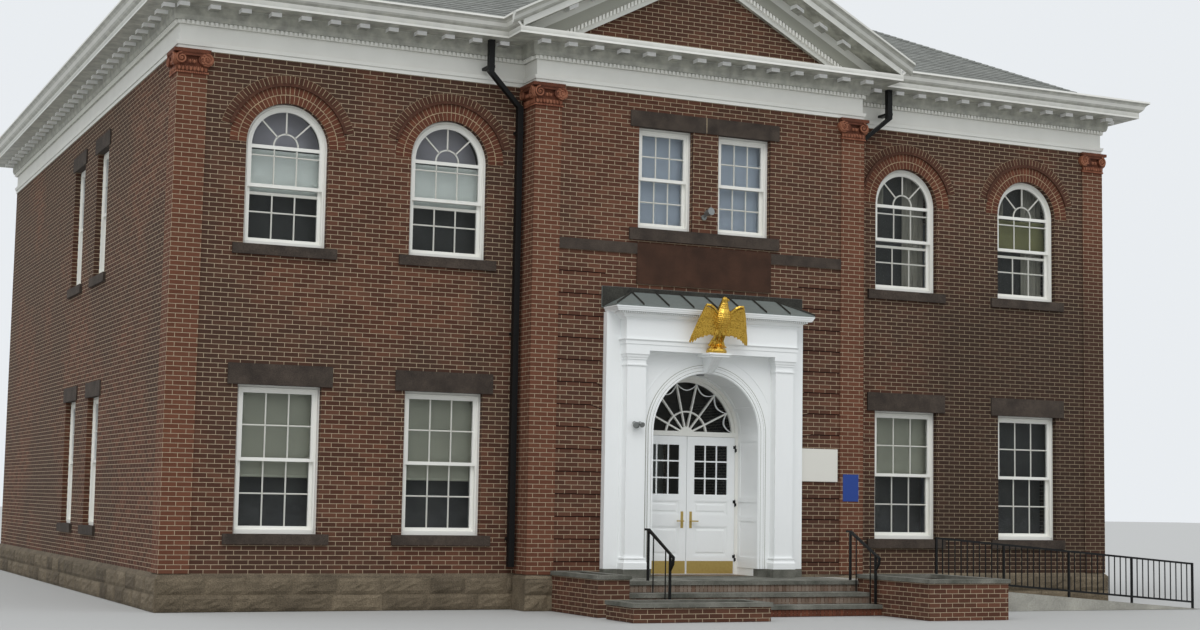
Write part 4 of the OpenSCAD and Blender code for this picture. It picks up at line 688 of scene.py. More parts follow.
def window_places():
    """(side, matrix to the lower left corner, width, height, arched) of each window"""
    listed = []
    for x in FRONT_XS:
        for z, arched in ((LOWER_Z, False), (UPPER_Z, True)):
            listed.append(("front", at(x - WINDOW_W / 2, WING_Y, z), WINDOW_W, WINDOW_H, arched))
    for x in (-BAY_WINDOW_X, BAY_WINDOW_X):
        corner = at(x - BAY_WINDOW_W / 2, BAY_Y, BAY_WINDOW_Z)
        listed.append(("front", corner, BAY_WINDOW_W, BAY_WINDOW_H, False))
    for z in (LOWER_Z, UPPER_Z):
        for side, sign in (("left", -1), ("right", 1)):
            for y in SIDE_Y:
                corner = at(sign * (WING_Y + y - MIDDLE_Y) - SIDE_WINDOW_W / 2, 0, z)
                listed.append(("side", WALLS[side] @ corner, SIDE_WINDOW_W, WINDOW_H, False))
        for x in (-OUTER_X, -INNER_X / 2, INNER_X / 2, OUTER_X):
            listed.append(("rear", WALLS["rear"] @ at(-x - WINDOW_W / 2, 0, z), WINDOW_W, WINDOW_H, False))
    return listed


BAR_DEEP = 0.014
BAR_EDGE = 0.005


def glazing_bar(pile, x0, x1, z0, z1, y):
    """Upright or level bar on the outside of the glass, with its edges taken off"""
    upright = x1 - x0 < z1 - z0
    low, high = (x0, x1) if upright else (z0, z1)
    cheek, face = y - BAR_DEEP + BAR_EDGE, y - BAR_DEEP
    outline = [(low, y), (low, cheek), (low + BAR_EDGE, face),
               (high - BAR_EDGE, face), (high, cheek), (high, y)]
    if upright:
        pile.prism(outline, 2, z0, z1)
    else:
        pile.prism([(depth, z) for z, depth in outline], 0, x0, x1)


def thirds(low, high):
    """The two places that part a length in three"""
    return [low + third * (high - low) / 3 for third in (1, 2)]


def straight_bars(pile, width, height, bar):
    """Three lights by two in each sash"""
    left, right = PANE_INSET, width - PANE_INSET
    for low, high, y in ((left, height / 2 - SASH_W / 2, LOWER_PANE_DEPTH),
                         (height / 2 + SASH_W / 2, height - left, PANE_DEPTH)):
        for x in thirds(left, right):
            glazing_bar(pile, x - bar / 2, x + bar / 2, low, high, y)
        middle = (low + high) / 2
        glazing_bar(pile, left, right, middle - bar / 2, middle + bar / 2, y)


def arched_bars(pile, width, bar):
    """Sunburst in the arched head, upright bars below it, and three lights by two at the bottom"""
    left, right = PANE_INSET, width - PANE_INSET
    low_bar = left + 0.6 * (ARCH_RAIL - left)
    fan_bar = SPRING - 0.165
    for x in thirds(left, right):
        glazing_bar(pile, x - bar / 2, x + bar / 2, left, ARCH_RAIL, LOWER_PANE_DEPTH)
        glazing_bar(pile, x - bar / 2, x + bar / 2, ARCH_MEET + SASH_W / 2, SPRING - SASH_W, PANE_DEPTH)
    for low, high, y in ((ARCH_RAIL - 0.005, ARCH_RAIL + 0.04, LOWER_PANE_DEPTH),
                         (fan_bar, fan_bar + bar, PANE_DEPTH),
                         (low_bar - bar / 2, low_bar + bar / 2, LOWER_PANE_DEPTH)):
        glazing_bar(pile, left, right, low, high, y)
    rim = width / 2 - left
    hub = 0.36 * rim
    fan = pile.at(at(width / 2, PANE_DEPTH, SPRING))
    for degrees in (45, 90, 135):
        along, across = outward(radians(degrees)), outward(radians(degrees + 90)) * bar / 2
        start, end = along * hub, along * (rim + 0.004)
        corners = (start - across, end - across, end + across, start + across)
        fan.sweep([[corner + Vector((0, y, 0)) for corner in corners] for y in (-BAR_DEEP, 0)])
    ring_plate(fan, hub - bar / 2, hub + bar / 2, BAR_DEEP, steps=20)


def arch_sweep(pile, radius, low, spring, profile, steps=32):
    """Sweeps (radius added, depth) pairs up a jamb, round an arch and down the other jamb"""
    path = [(pi, low), *((pi - pi * i / steps, spring) for i in range(steps + 1)), (0.0, low)]
    pile.sweep([[outward(angle) * (radius + r) + Vector((0, y, base)) for r, y in profile]
                for angle, base in path])


def frame_bead(pile, width, height, inset, arched):
    """Small bead round the outer edge of a window frame"""
    wide, back, side, front = 0.016, 0.1, 0.093, 0.088
    bead = [(0, back), (0, side), (wide / 2, front), (wide, side), (wide, back)]
    if arched:
        arch_sweep(pile.at(at(width / 2, 0)), width / 2 - inset, inset, SPRING, [(-r, y) for r, y in bead])
        return
    for left in (inset, width - inset - wide):
        pile.prism([(left + x, y) for x, y in bead], 2, inset, height - inset)
    pile.prism([(y, height - inset - z) for z, y in bead], 0, inset, width - inset)


class TOWNHALL_OT_window_bars(bpy.types.Operator):
    """Glazing bars and the beads of the window frames"""

    bl_idname = "town_hall.window_bars"
    bl_label = "Glazing bars"

    # Places of the beads across the frame, by whether it is arched
    BEADS = {True: (0.006, 0.034), False: (0.03,)}

    def execute(self, context):
        bar = context.scene.town_hall_sizes.bar
        bars = {"front": Pile(), "side": Pile(), "rear": Pile()}
        beads = Pile()
        for side, place, width, height, arched in window_places():
            if arched:
                arched_bars(bars[side].at(place), width, bar)
            else:
                straight_bars(bars[side].at(place), width, height, bar)
            for inset in self.BEADS[arched]:
                frame_bead(beads.at(place), width, height, inset, arched)
        for side, pile in bars.items():
            piece(side + "_glazing_bars", pile, "bar_paint")
        piece("window_frame_beads", beads, "white_paint")
        return {"FINISHED"}


class TOWNHALL_OT_blinds(bpy.types.Operator):
    """Slatted blinds, let down as far as the photograph shows, and the curtains of the right-hand rooms"""

    bl_idname = "town_hall.blinds"
    bl_label = "Blinds"

    # Foot and finish of the blind in a front window, by its arch and whether it stands right of the middle
    HUNG = {
        (True, False): (ARCH_RAIL + 0.03, "aluminium_slats"), (False, False): (0.835, "linen_slats"),
        (True, True): (ARCH_MEET + 0.04, "olive_blind"), (False, True): (WINDOW_H / 2, "dark_blind"),
    }
    CLOTH_Y = (0.42, 0.424)
    LET_DOWN = 0.06
    GAP = 0.03

    def execute(self, context):
        kept = defaultdict(Pile)
        curtains = Pile()
        for side, place, width, height, arched in window_places():
            x = place.translation.x + width / 2
            foot, name = self.HUNG[(arched, x > 0)]
            inner = 0 < x < OUTER_X - 1
            if width == BAY_WINDOW_W:
                foot, name = self.LET_DOWN, "grey_blind"
            elif side != "front":
                foot, name = self.LET_DOWN, "aluminium_slats"
            elif not arched and inner:
                name = "linen_slats"
            if side == "front" and width != BAY_WINDOW_W:
                self.shade_cloths(kept, place, width, x > 0, foot, arched)
            if arched and x > 0:
                self.curtain(curtains.at(place), 0.02, 0.40, SPRING - 0.02)
                self.curtain(curtains.at(place), width - 0.46, width - 0.02, 0.02)
            hung = kept[name].at(place)
            if not (arched and inner):
                self.slats(hung, 0.035, width - 0.035, foot, SPRING - 0.05 if arched else height - 0.07)
        for name, pile in kept.items():
            piece("window_blinds_" + name, pile, name)
        piece("window_curtains", curtains, "linen")
        return {"FINISHED"}

    def shade_cloths(self, kept, place, width, right, foot, arched):
        """Dark cloth behind the lower sash, a painted shade for the unlit rooms; behind the fan it is dusky
        on the left and dark on the right
        """
        top = SPRING if arched and right else foot
        kept["dark_blind"].at(place).box(self.GAP, width - self.GAP, *self.CLOTH_Y, self.GAP, top)
        if arched:
            radius = width / 2 - self.GAP
            arch = [outward(pi * i / 20) * radius for i in range(21)]
            kept["dark_blind" if right else "dusk_cloth"].at(place).prism(
                [(width / 2 + p.x, SPRING + p.z) for p in arch], 1, *self.CLOTH_Y)

    def slats(self, pile, x0, x1, foot, top):
        """Head rail, tilted slats of two inches and the foot rail"""
        y, pitch, drop, tilt, thick = 0.26, 0.045, 0.047, 0.012, 0.002
        for i in range(int((top - foot) / pitch)):
            z = top - self.GAP - i * pitch
            slat = [(y, z), (y + tilt, z - drop), (y + tilt + thick, z - drop), (y + thick, z)]
            pile.prism(slat, 0, x0, x1)
        pile.box(x0, x1, y - 0.01, y + 0.03, top - 0.04, top)
        pile.box(x0, x1, y - 0.006, y + 0.02, foot - 0.015, foot + 0.01)

    def curtain(self, pile, x0, x1, foot):
        """Cloth hanging in soft folds behind the wall"""
        folds, steps, deep, thick = 4, 32, 0.022, 0.004
        front = [(x0 + (x1 - x0) * i / steps, 0.375 + deep * sin(2 * pi * folds * i / steps))
                 for i in range(steps + 1)]
        pile.prism(front + [(x, y + thick) for x, y in reversed(front)], 2, foot, SPRING + 0.55)


def ring_bricks(pile, inner, outer, sizes, a0=0.0, a1=pi):
    """Radial bricks between two radii, each a little proud of the wall"""
    count = round((a1 - a0) * (inner + outer) / 2 / sizes.course)
    gap = sizes.joint / (inner + outer)
    for i in range(count):
        start, end = a0 + (a1 - a0) * i / count + gap, a0 + (a1 - a0) * (i + 1) / count - gap
        corners = ((inner, start), (outer, start), (outer, end), (inner, end))
        pile.prism([(r * cos(a), r * sin(a)) for r, a in corners], 1, -0.005, 0)


class TOWNHALL_OT_brick_arches(bpy.types.Operator):
    """Two red rings and a dark outer ring of bricks over each arched window"""

    bl_idname = "town_hall.brick_arches"
    bl_label = "Brick arches"

    def execute(self, context):
        sizes = context.scene.town_hall_sizes
        rings, headers, mortar = Pile(), Pile(), Pile()
        opening, rings_wide, half_joint, bed = WINDOW_W / 2, 0.25, 0.006, 0.002
        label = opening + rings_wide
        middle = opening + rings_wide / 2
        header_foot, header_top = label + 0.045, label + 0.16
        shoulders = radians(15), radians(165)
        for x in FRONT_XS:
            place = at(x, WING_Y, SPRING_Z)
            ring_bricks(rings.at(place), opening, middle - half_joint, sizes)
            ring_bricks(rings.at(place), middle + half_joint, label, sizes)
            ring_bricks(headers.at(place), header_foot, header_top, sizes, *shoulders)
            ring_plate(mortar.at(place), opening, label, bed)
            ring_plate(mortar.at(place), header_foot - 0.005, header_top + 0.003, bed, *shoulders)
        piece("window_arch_bricks", rings, "cut_brick")
        piece("window_arch_headers", headers, "header_brick")
        # Joint between the two lintels of the bay
        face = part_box("window_lintels")[0].y
        head = BAY_WINDOW_Z + BAY_WINDOW_H
        mortar.box(-0.005, 0.005, face - 0.001, face + 0.01, head + 0.002, head + 0.248)
        piece("window_arch_mortar", mortar, "lime_mortar")
        return {"FINISHED"}


class TOWNHALL_OT_base_stones(bpy.types.Operator):
    """Split faces of the base stones, each pillowed and chipped"""

    bl_idname = "town_hall.base_stones"
    bl_label = "Base stones"

    def execute(self, context):
        rng = random.Random(11)
        pile = Pile()
        proud, steps_x, wash, half_stone, sliver = 0.055, 2.06, 0.06, 0.31, 0.08
        far, near, deep = HALF_W + proud, BAY_HALF + proud, HALF_D + proud
        high = (BASE_TOP - wash) / 2
        for side, x0, x1, y in (
                ("front", -far, -near, 0.0), ("front", near, far, 0.0), ("rear", -far, far, 0.0),
                ("left", -deep, deep, 0.0), ("right", -deep, deep, 0.0),
                ("front", -near, -steps_x, BAY_Y - WING_Y), ("front", steps_x, near, BAY_Y - WING_Y)):
            wall = pile.at(WALLS[side])
            for z in (0.0, high):
                x = x0 - (0.0 if z else half_stone)
                while x < x1:
                    wide = rng.uniform(0.55, 0.85)
                    left, right = max(x, x0), min(x + wide, x1)
                    if right - left > sliver:
                        self.stone(wall, left, right, y - proud, z, z + high, rng)
                    x += wide
        piece("base_stone_faces", pile, "rockface_stone")
        return {"FINISHED"}

    def stone(self, pile, x0, x1, y, z0, z1, rng):
        """Pillow with a rough face, set in a recessed joint"""
        joint, columns, rows = 0.008, 8, 5

        def point(c, r):
            u, v = c / columns, r / rows
            edge = min(u, 1 - u, v, 1 - v)
            swell = 0.016 + 0.02 * min(edge * 3, 1) * rng.random() if edge else 0.004
            shift = rng.uniform(-0.01, 0.01) if edge else 0
            return (x0 + joint + (x1 - x0 - 2 * joint) * u + shift, y - swell,
                    z0 + joint + (z1 - z0 - 2 * joint) * v)

        rough_patch(pile, columns, rows, point, lambda px, py, pz: (px, y, pz))


def dentil_row(pile, x0, x1, pitch):
    """Row of small blocks between x0 and x1 on a wall"""
    deep, high, share = 0.032, 0.05, 0.58
    count = round((x1 - x0) / pitch)
    step = (x1 - x0) / count
    for i in range(count):
        left = x0 + (i + (1 - share) / 2) * step
        pile.box(left, left + share * step, -deep, 0.0, DENTIL_Z, DENTIL_Z + high)


class TOWNHALL_OT_cornice(bpy.types.Operator):
    """Dentils of the main cornice and the gable, and the bed mouldings under the rakes"""

    bl_idname = "town_hall.cornice"
    bl_label = "Cornice"

    def execute(self, context):
        pitch = context.scene.town_hall_sizes.dentil
        dentils, bed = Pile(), Pile()
        out, half, front, back = 0.035, 0.019, BAY_Y - 0.074, BAY_Y - 0.03
        cheek = (WING_Y - BAY_Y) / 2
        left_cheek, right_cheek = (at(sign * BAY_HALF, BAY_Y + cheek, 0, sign * pi / 2) for sign in (-1, 1))
        for place, x0, x1 in (
                (WALLS["front"], -HALF_W, -BAY_HALF), (WALLS["front"], BAY_HALF, HALF_W),
                (WALLS["rear"], -HALF_W, HALF_W), (WALLS["left"], -HALF_D, HALF_D),
                (WALLS["right"], -HALF_D, HALF_D), (at(0, BAY_Y), -BAY_HALF, BAY_HALF),
                (left_cheek, -cheek, cheek - 0.06), (right_cheek, -cheek, cheek - 0.06)):
            dentil_row(dentils.at(place @ at(0, -out)), x0, x1, pitch)
        # Rakes of the pediment
        run = pitch * cos(atan(ROOF_SLOPE))
        foot = CORONA_TOP + 0.002
        bed_top, bed_foot, dentil_foot = GABLE_TOP - 0.43, GABLE_TOP - 0.63, GABLE_TOP - 0.71
        for sign in (-1, 1):
            for i in range(int((dentil_foot - foot) / ROOF_SLOPE / run)):
                x0, x1 = (i + 0.5) * run - half, (i + 0.5) * run + half
                corners = ((x0, dentil_foot), (x1, dentil_foot), (x1, bed_foot), (x0, bed_foot))
                dentils.prism([(sign * x, z - x * ROOF_SLOPE) for x, z in corners], 1, front, back)
            for top, low, proud in ((bed_top, bed_foot, 0.079), (bed_foot + 0.018, bed_foot - 0.004, 0.084)):
                bed.prism([(0, low), (0, top), (sign * (top - foot) / ROOF_SLOPE, foot),
                           (sign * (low - foot) / ROOF_SLOPE, foot)], 1, BAY_Y - proud, back)
        piece("cornice_dentils", dentils, "white_paint")
        # The bed mouldings wear a grey of dirt and painted shade
        piece("raking_bed_mouldings", bed, "weathered_paint")
        return {"FINISHED"}


def line(xa, ya, xb, yb, z):
    """Level line between two points"""
    return Vector((xa, ya, z)), Vector((xb, yb, z))


def roof_course(pile, low, high, normal, rng):
    """Course between a lower and an upper line, cut into strips of about a metre, each with its own tone"""
    reach = (low[1] - low[0]).length
    if reach < 0.02:
        return
    along = (low[1] - low[0]).normalized()
    up = (high[0] - low[0]) - along * (high[0] - low[0]).dot(along)
    first, last = ((point - low[0]).dot(along) for point in high)
    place = -rng.uniform(0.0, 0.9)
    while place < reach:
        left, right = max(place, 0.0), min(place + 0.911, reach)
        top_left = first if left == 0.0 else min(max(left, first), last)
        top_right = last if right == reach else max(min(right, last), first)
        if right - left > 0.01:
            # Tapered slab: thick at the lower edge, thin at the upper
            corners = [low[0] + along * left, low[0] + along * right,
                       low[0] + up + along * top_right, low[0] + up + along * top_left]
            lifts = (0.009, 0.009, 0.001, 0.001)
            pile.sweep([corners, [corner + normal * lift for corner, lift in zip(corners, lifts)]])
        place += 0.914


def cap_row(pile, start, end, normals, exposure):
    """Bent caps lapped from start up to end over the edge between two roof planes"""
    wide, thick, lap = 0.14, 0.019, 0.011
    along = (end - start).normalized()
    wings = [along.cross(normal).normalized() for normal in normals]
    wings = [wing * (wide if wing.z < 0 else -wide) for wing in wings]
    middle = (normals[0] + normals[1]).normalized()
    share = 1 / middle.dot(normals[0])
    for i in range(int((end - start).length / exposure)):
        ends = (start + along * i * exposure, thick), (start + along * (i + 1) * exposure, lap)
        pile.sweep([[point + wings[0], point + wings[0] + normals[0] * lift, point + middle * lift * share,
                     point + wings[1] + normals[1] * lift, point + wings[1]] for point, lift in ends])


class TOWNHALL_OT_roofing(bpy.types.Operator):
    """Courses of shingles on every roof plane, with caps on the hips and ridges"""

    bl_idname = "town_hall.roofing"
    bl_label = "Roofing"

    def execute(self, context):
        exposure = context.scene.town_hall_sizes.shingle
        angle = atan(ROOF_SLOPE)
        run = exposure * cos(angle)
        half_x, half_y, bay_half = HALF_W + ROOF_O, HALF_D + ROOF_O, BAY_HALF + ROOF_O
        y0, y1 = WING_Y - ROOF_O, REAR_Y + ROOF_O
        valley = (GABLE_TOP - ROOF_EDGE) / ROOF_SLOPE
        front, meet = BAY_Y - CORONA_O, y0 + valley
        front_n, rear_n = Vector((0, -sin(angle), cos(angle))), Vector((0, sin(angle), cos(angle)))
        left_n, right_n = Vector((-sin(angle), 0, cos(angle))), Vector((sin(angle), 0, cos(angle)))
        main, bay, caps = Pile(), Pile(), Pile()
        rng = random.Random(5)

        def main_lines(d):
            z, end, gap = ROOF_EDGE + d * ROOF_SLOPE, half_x - d, max(valley - d, 0.0)
            found = []
            for sign in (-1, 1):
                found.append(line(sign * gap, y0 + d, sign * end, y0 + d, z))
                found.append(line(sign * end, y0 + d, sign * end, y1 - d, z))
            return [*found, line(-end, y1 - d, end, y1 - d, z)]

        def bay_lines(d):
            x, z = bay_half - d, GABLE_TOP - (bay_half - d) * ROOF_SLOPE
            return [line(sign * x, front, sign * x, meet - x, z) for sign in (-1, 1)]

        for pile, lines, reach, normals in (
                (main, main_lines, half_y, (front_n, left_n, front_n, right_n, rear_n)),
                (bay, bay_lines, bay_half, (left_n, right_n))):
            for i in range(int(reach / run)):
                for low, high, normal in zip(lines(i * run), lines((i + 1) * run), normals):
                    roof_course(pile, low, high, normal, rng)
        top = ROOF_EDGE + half_y * ROOF_SLOPE
        ridge = half_x - half_y
        for sign, side_n in ((-1, left_n), (1, right_n)):
            for y, y_in, normal in ((y0, y0 + half_y, front_n), (y1, y1 - half_y, rear_n)):
                cap_row(caps, Vector((sign * half_x, y, ROOF_EDGE)), Vector((sign * ridge, y_in, top)),
                        (normal, side_n), exposure)
        cap_row(caps, *line(-ridge, y0 + half_y, ridge, y0 + half_y, top), (front_n, rear_n), exposure)
        cap_row(caps, *line(0, front, 0, meet, GABLE_TOP), (left_n, right_n), exposure)
        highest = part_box("main_roof")[1].z
        caps.points = [(x, y, min(z, highest)) for x, y, z in caps.points]
        named = {"main_roof_shingles": main, "bay_roof_shingles": bay, "hip_and_ridge_caps": caps}
        for name, pile in named.items():
            piece(name, pile, "asphalt_shingle")
        return {"FINISHED"}


class TOWNHALL_OT_hood(bpy.types.Operator):
    """Standing seams of the portal's hood, dark as a painted shade of their sides, and the slate-coloured
    sheet behind it
    """

    bl_idname = "town_hall.hood"
    bl_label = "Hood"

    def execute(self, context):
        gap = context.scene.town_hall_sizes.seam
        low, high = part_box("portal_hood")
        edge, top, half = 0.02, 4.87, 1.745
        half_rib, tall, taper, shortest = 0.008, 0.03, 0.6, 0.08
        back, foot = BAY_Y - edge, low.z + edge
        ridge = half - PORTAL_P - 0.15
        slope = (top - foot) / (BAY_Y - low.y)
        seams, sheet = Pile(), Pile()

        def rib(x_low, x_high, y_high, z_high):
            start, end = Vector((x_low, low.y, foot)), Vector((x_high, y_high, z_high))
            across = (end - start).cross(Vector((0, 0, 1))).normalized() * half_rib
            lift = Vector((0, 0, tall))
            seams.sweep([[p - across, p + across, p + across * taper + lift, p - across * taper + lift]
                         for p in (start, end)])

        count = int(half / gap)
        for x in (i * gap for i in range(-count, count + 1)):
            reach = min(1.0, (half - abs(x)) / (half - ridge))
            if reach >= shortest:
                run = (back - low.y) * reach
                rib(x, x, low.y + run, foot + run * slope)
        for sign in (-1, 1):
            rib(sign * half, sign * ridge, back, top - edge * slope)
        # The seams take the dark sheet's finish as painted shade
        piece("shaded_hood_seams", seams, "slate_sheet")
        sheet.box(-half - 0.036, half + 0.036, back - 0.003, back, low.z + 0.01, high.z - 0.004)
        piece("hood_back_sheet", sheet, "slate_sheet")
        return {"FINISHED"}


class TOWNHALL_OT_portal_trim(bpy.types.Operator):
    """Archivolt with painted shade lines in its quirks, bead row with a painted shade line behind it, and
    the panels of the jambs and the soffit
    """

    bl_idname = "town_hall.portal_trim"
    bl_label = "Portal trim"

    # Radius added and depth of the archivolt, and the middle and depth of the painted shade lines in its
    # quirks
    BANDS = ((0, 0), (0, -0.018), (0.022, -0.018), (0.027, -0.011), (0.034, -0.011), (0.039, -0.02),
             (0.082, -0.02), (0.088, -0.008), (0.118, -0.008), (0.122, 0))
    QUIRK_SHADE = ((0.0335, 0.0125), (0.085, 0.016), (0.1225, 0.0085))
    RAILS = ((PLINTH_TOP, 0.80), (1.36, 1.44), (1.66, 1.74), (2.62, ARCH_Z))

    def execute(self, context):
        trim, quirks, beads = Pile(), Pile(), Pile()
        face = BAY_Y - ARCH_P
        arch_sweep(trim.at(at(0, face)), ARCH_R, PLINTH_TOP, ARCH_Z, self.BANDS, 48)
        ring_plate(trim.at(at(0, face, ARCH_Z)), 1.196, 1.208, 0.006, radians(25), radians(155))
        # Jamb panels and the coffers of the arch
        inner, stile, coffers, half_rib = ARCH_R - 0.009, 0.075, 7, 0.04
        for sign in (-1, 1):
            for y0, y1, low, high in ((face, face + stile, PLINTH_TOP, ARCH_Z),
                                      (DOOR_Y - stile, DOOR_Y, PLINTH_TOP, ARCH_Z),
                                      *((face + stile, DOOR_Y - stile, *rail) for rail in self.RAILS)):
                trim.box(sign * ARCH_R, sign * inner, y0, y1, low, high)
        for y in (face + stile, DOOR_Y):
            ring_plate(trim.at(at(0, y, ARCH_Z)), inner, ARCH_R, stile, steps=48)
        for i in range(coffers + 1):
            middle = pi * i / coffers
            ring_plate(trim.at(at(0, DOOR_Y - stile, ARCH_Z)), inner, ARCH_R, DOOR_Y - face - 2 * stile,
                       max(middle - half_rib, 0.0), min(middle + half_rib, pi), 3)
        piece("portal_mouldings", trim, "portal_paint")
        # Painted shade: thin grey strips in the quirks of the archivolt and its jambs
        half_quirk = 0.0035
        for added, out in self.QUIRK_SHADE:
            low, high = ARCH_R + added - half_quirk, ARCH_R + added + half_quirk
            ring_plate(quirks.at(at(0, face, ARCH_Z)), low, high, out)
            for sign in (-1, 1):
                quirks.box(sign * low, sign * high, face - out, face, PLINTH_TOP, ARCH_Z)
        pitch, half, out, z = 0.036, 0.01, 0.02, FRIEZE_TOP - 0.028
        top = z + 0.025
        front, side = BAY_Y - PORTAL_P - 0.0825, PORTAL_HALF + 0.132
        # Painted shade: a grey strip behind the bead row
        quirks.box(-side, side, front - 0.0015, front, z - 0.002, z + 0.027)
        piece("portal_quirk_shade_lines", quirks, "weathered_paint")
        count = int(2 * side / pitch)
        for i in range(count):
            x = -side + (i + 0.5) * 2 * side / count
            beads.box(x - half, x + half, front - out, front, z, top)
        for i in range(int((PORTAL_P - STRIP_P) / pitch)):
            y = front + (i + 0.5) * pitch
            for sign in (-1, 1):
                beads.box(sign * side, sign * (side + out), y - half, y + half, z, top)
        piece("portal_bead_row", beads, "portal_paint")
        return {"FINISHED"}


LEAVES = ((-1, "left_door"), (1, "right_door"))


class TOWNHALL_OT_door_trim(bpy.types.Operator):
    """Glazing bars and raised fields of the leaves, and the swags of the fanlight"""

    bl_idname = "town_hall.door_trim"
    bl_label = "Doors and fanlight"

    def execute(self, context):
        inner, outer, low, high = DOOR_LIGHT
        bar = context.scene.town_hall_sizes.bar
        for sign, body in LEAVES:
            pile = Pile()
            x0, x1 = sorted((sign * inner, sign * outer))
            y0, y1 = DOOR_Y + 0.004, DOOR_Y + 0.019
            for x, z in zip(thirds(x0, x1), thirds(low, high)):
                pile.box(x - bar / 2, x + bar / 2, y0, y1, low, high)
                pile.box(x0, x1, y0 + 0.001, y1, z - bar / 2, z + bar / 2)
            frame_strips(pile, x0, x1, low, high, DOOR_Y + 0.002, y1, 0.012)
            field_y, sunk_y, margin = DOOR_Y + 0.003, DOOR_Y + 0.01, 0.045
            for foot, head in DOOR_PANELS:
                frame_strips(pile, x0, x1, foot, head, field_y, sunk_y, 0.014)
                frustum(pile, x0 + margin, x1 - margin, foot + margin, head - margin, sunk_y, field_y, 0.025)
            piece(body + "_bars_and_panels", pile, "portal_paint", body)
        self.hinges()
        swags = Pile()
        gaps, steps, half, deep, rest, sag = 7, 10, 0.008, 0.03, 0.06, 0.12
        for gap in range(gaps):
            start, end = max(pi * gap / gaps, rest), min(pi * (gap + 1) / gaps, pi - rest)
            loops = []
            for i in range(steps + 1):
                out = outward(start + (end - start) * i / steps)
                radius = FAN_R - 0.005 - sag * sin(pi * i / steps) ** 0.7
                loops.append([out * r + Vector((0, y, 0)) for r, y in (
                    (radius - half, 0), (radius + half, 0), (radius + half, deep), (radius - half, deep))])
            swags.at(at(0, DOOR_Y + 0.03, ARCH_Z)).sweep(loops)
        piece("fanlight_swags", swags, "portal_paint")
        return {"FINISHED"}

    def hinges(self):
        """Black barrels with a ball at each end, half on the frame and half on the leaf with its plates"""
        low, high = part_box("frame_hinges")
        knuckle, plate, radius = 0.045, 0.032, 0.0105
        frame_half = Pile()
        for sign, body in LEAVES:
            leaf_half = Pile()
            x, y = sign * (high.x - plate), low.y + 0.01
            for step in (0, 0.5, 1):
                z = low.z + step * (high.z - knuckle - low.z)
                top = z + 2 * knuckle
                for pile, z0, z1, wide, far in (
                        (frame_half, z - 0.003, z + knuckle, radius, radius),
                        (frame_half, z - 0.014, z - 0.003, 0.004, 0.008),
                        (leaf_half, z + knuckle + 0.0003, top + 0.003, radius, radius),
                        (leaf_half, top + 0.003, top + 0.014, 0.008, 0.004)):
                    round_bar(pile, (x, y, z0), (x, y, z1), wide, far)
                leaf_half.box(x, x - sign * (plate + 0.001), DOOR_Y - 0.0048, DOOR_Y - 0.001,
                              z + knuckle + 0.0003, top + 0.0013)
            piece(body + "_hinge_barrels", leaf_half, "wrought_iron", body)
        piece("frame_hinge_barrels", frame_half, "wrought_iron")


class TOWNHALL_OT_entrance_works(bpy.types.Operator):
    """Bricks on edge in the risers, and the soil of the planters"""

    bl_idname = "town_hall.entrance_works"
    bl_label = "Entrance works"

    def execute(self, context):
        rng = random.Random(3)
        sizes = context.scene.town_hall_sizes
        count = round(2 * STEPS_HALF / sizes.course)
        step = 2 * STEPS_HALF / count
        high, inset = RISER - 0.06, 0.004
        for name, made_of, rows in (
                ("washed_risers", "limewashed_brick", (1, 2)), ("brick_riser", "cut_brick", (0,))):
            pile = Pile()
            for row in rows:
                y, z = STEPS_Y - (2 - row) * TREAD, row * RISER
                for i in range(count):
                    x = -STEPS_HALF + i * step + sizes.joint / 2
                    front = y - rng.uniform(0.004, 0.007)
                    pile.box(x, x + step - sizes.joint, front, y, z + inset, z + high - inset)
            piece(name, pile, made_of)
        soil, clod = Pile(), 0.07
        for x0, x1, y0, y1, z in PLANTERS:
            columns, rows = (max(2, int(side / clod)) for side in (x1 - x0, y1 - y0))
            rough_patch(soil, columns, rows,
                        lambda c, r: (x0 + (x1 - x0) * c / columns, WING_Y + y0 + (y1 - y0) * r / rows,
                                      z + rng.uniform(0.012, 0.045)),
                        lambda px, py, pz: (px, py, z + 0.002), closed=True)
        piece("planter_soil", soil, "soil")
        return {"FINISHED"}


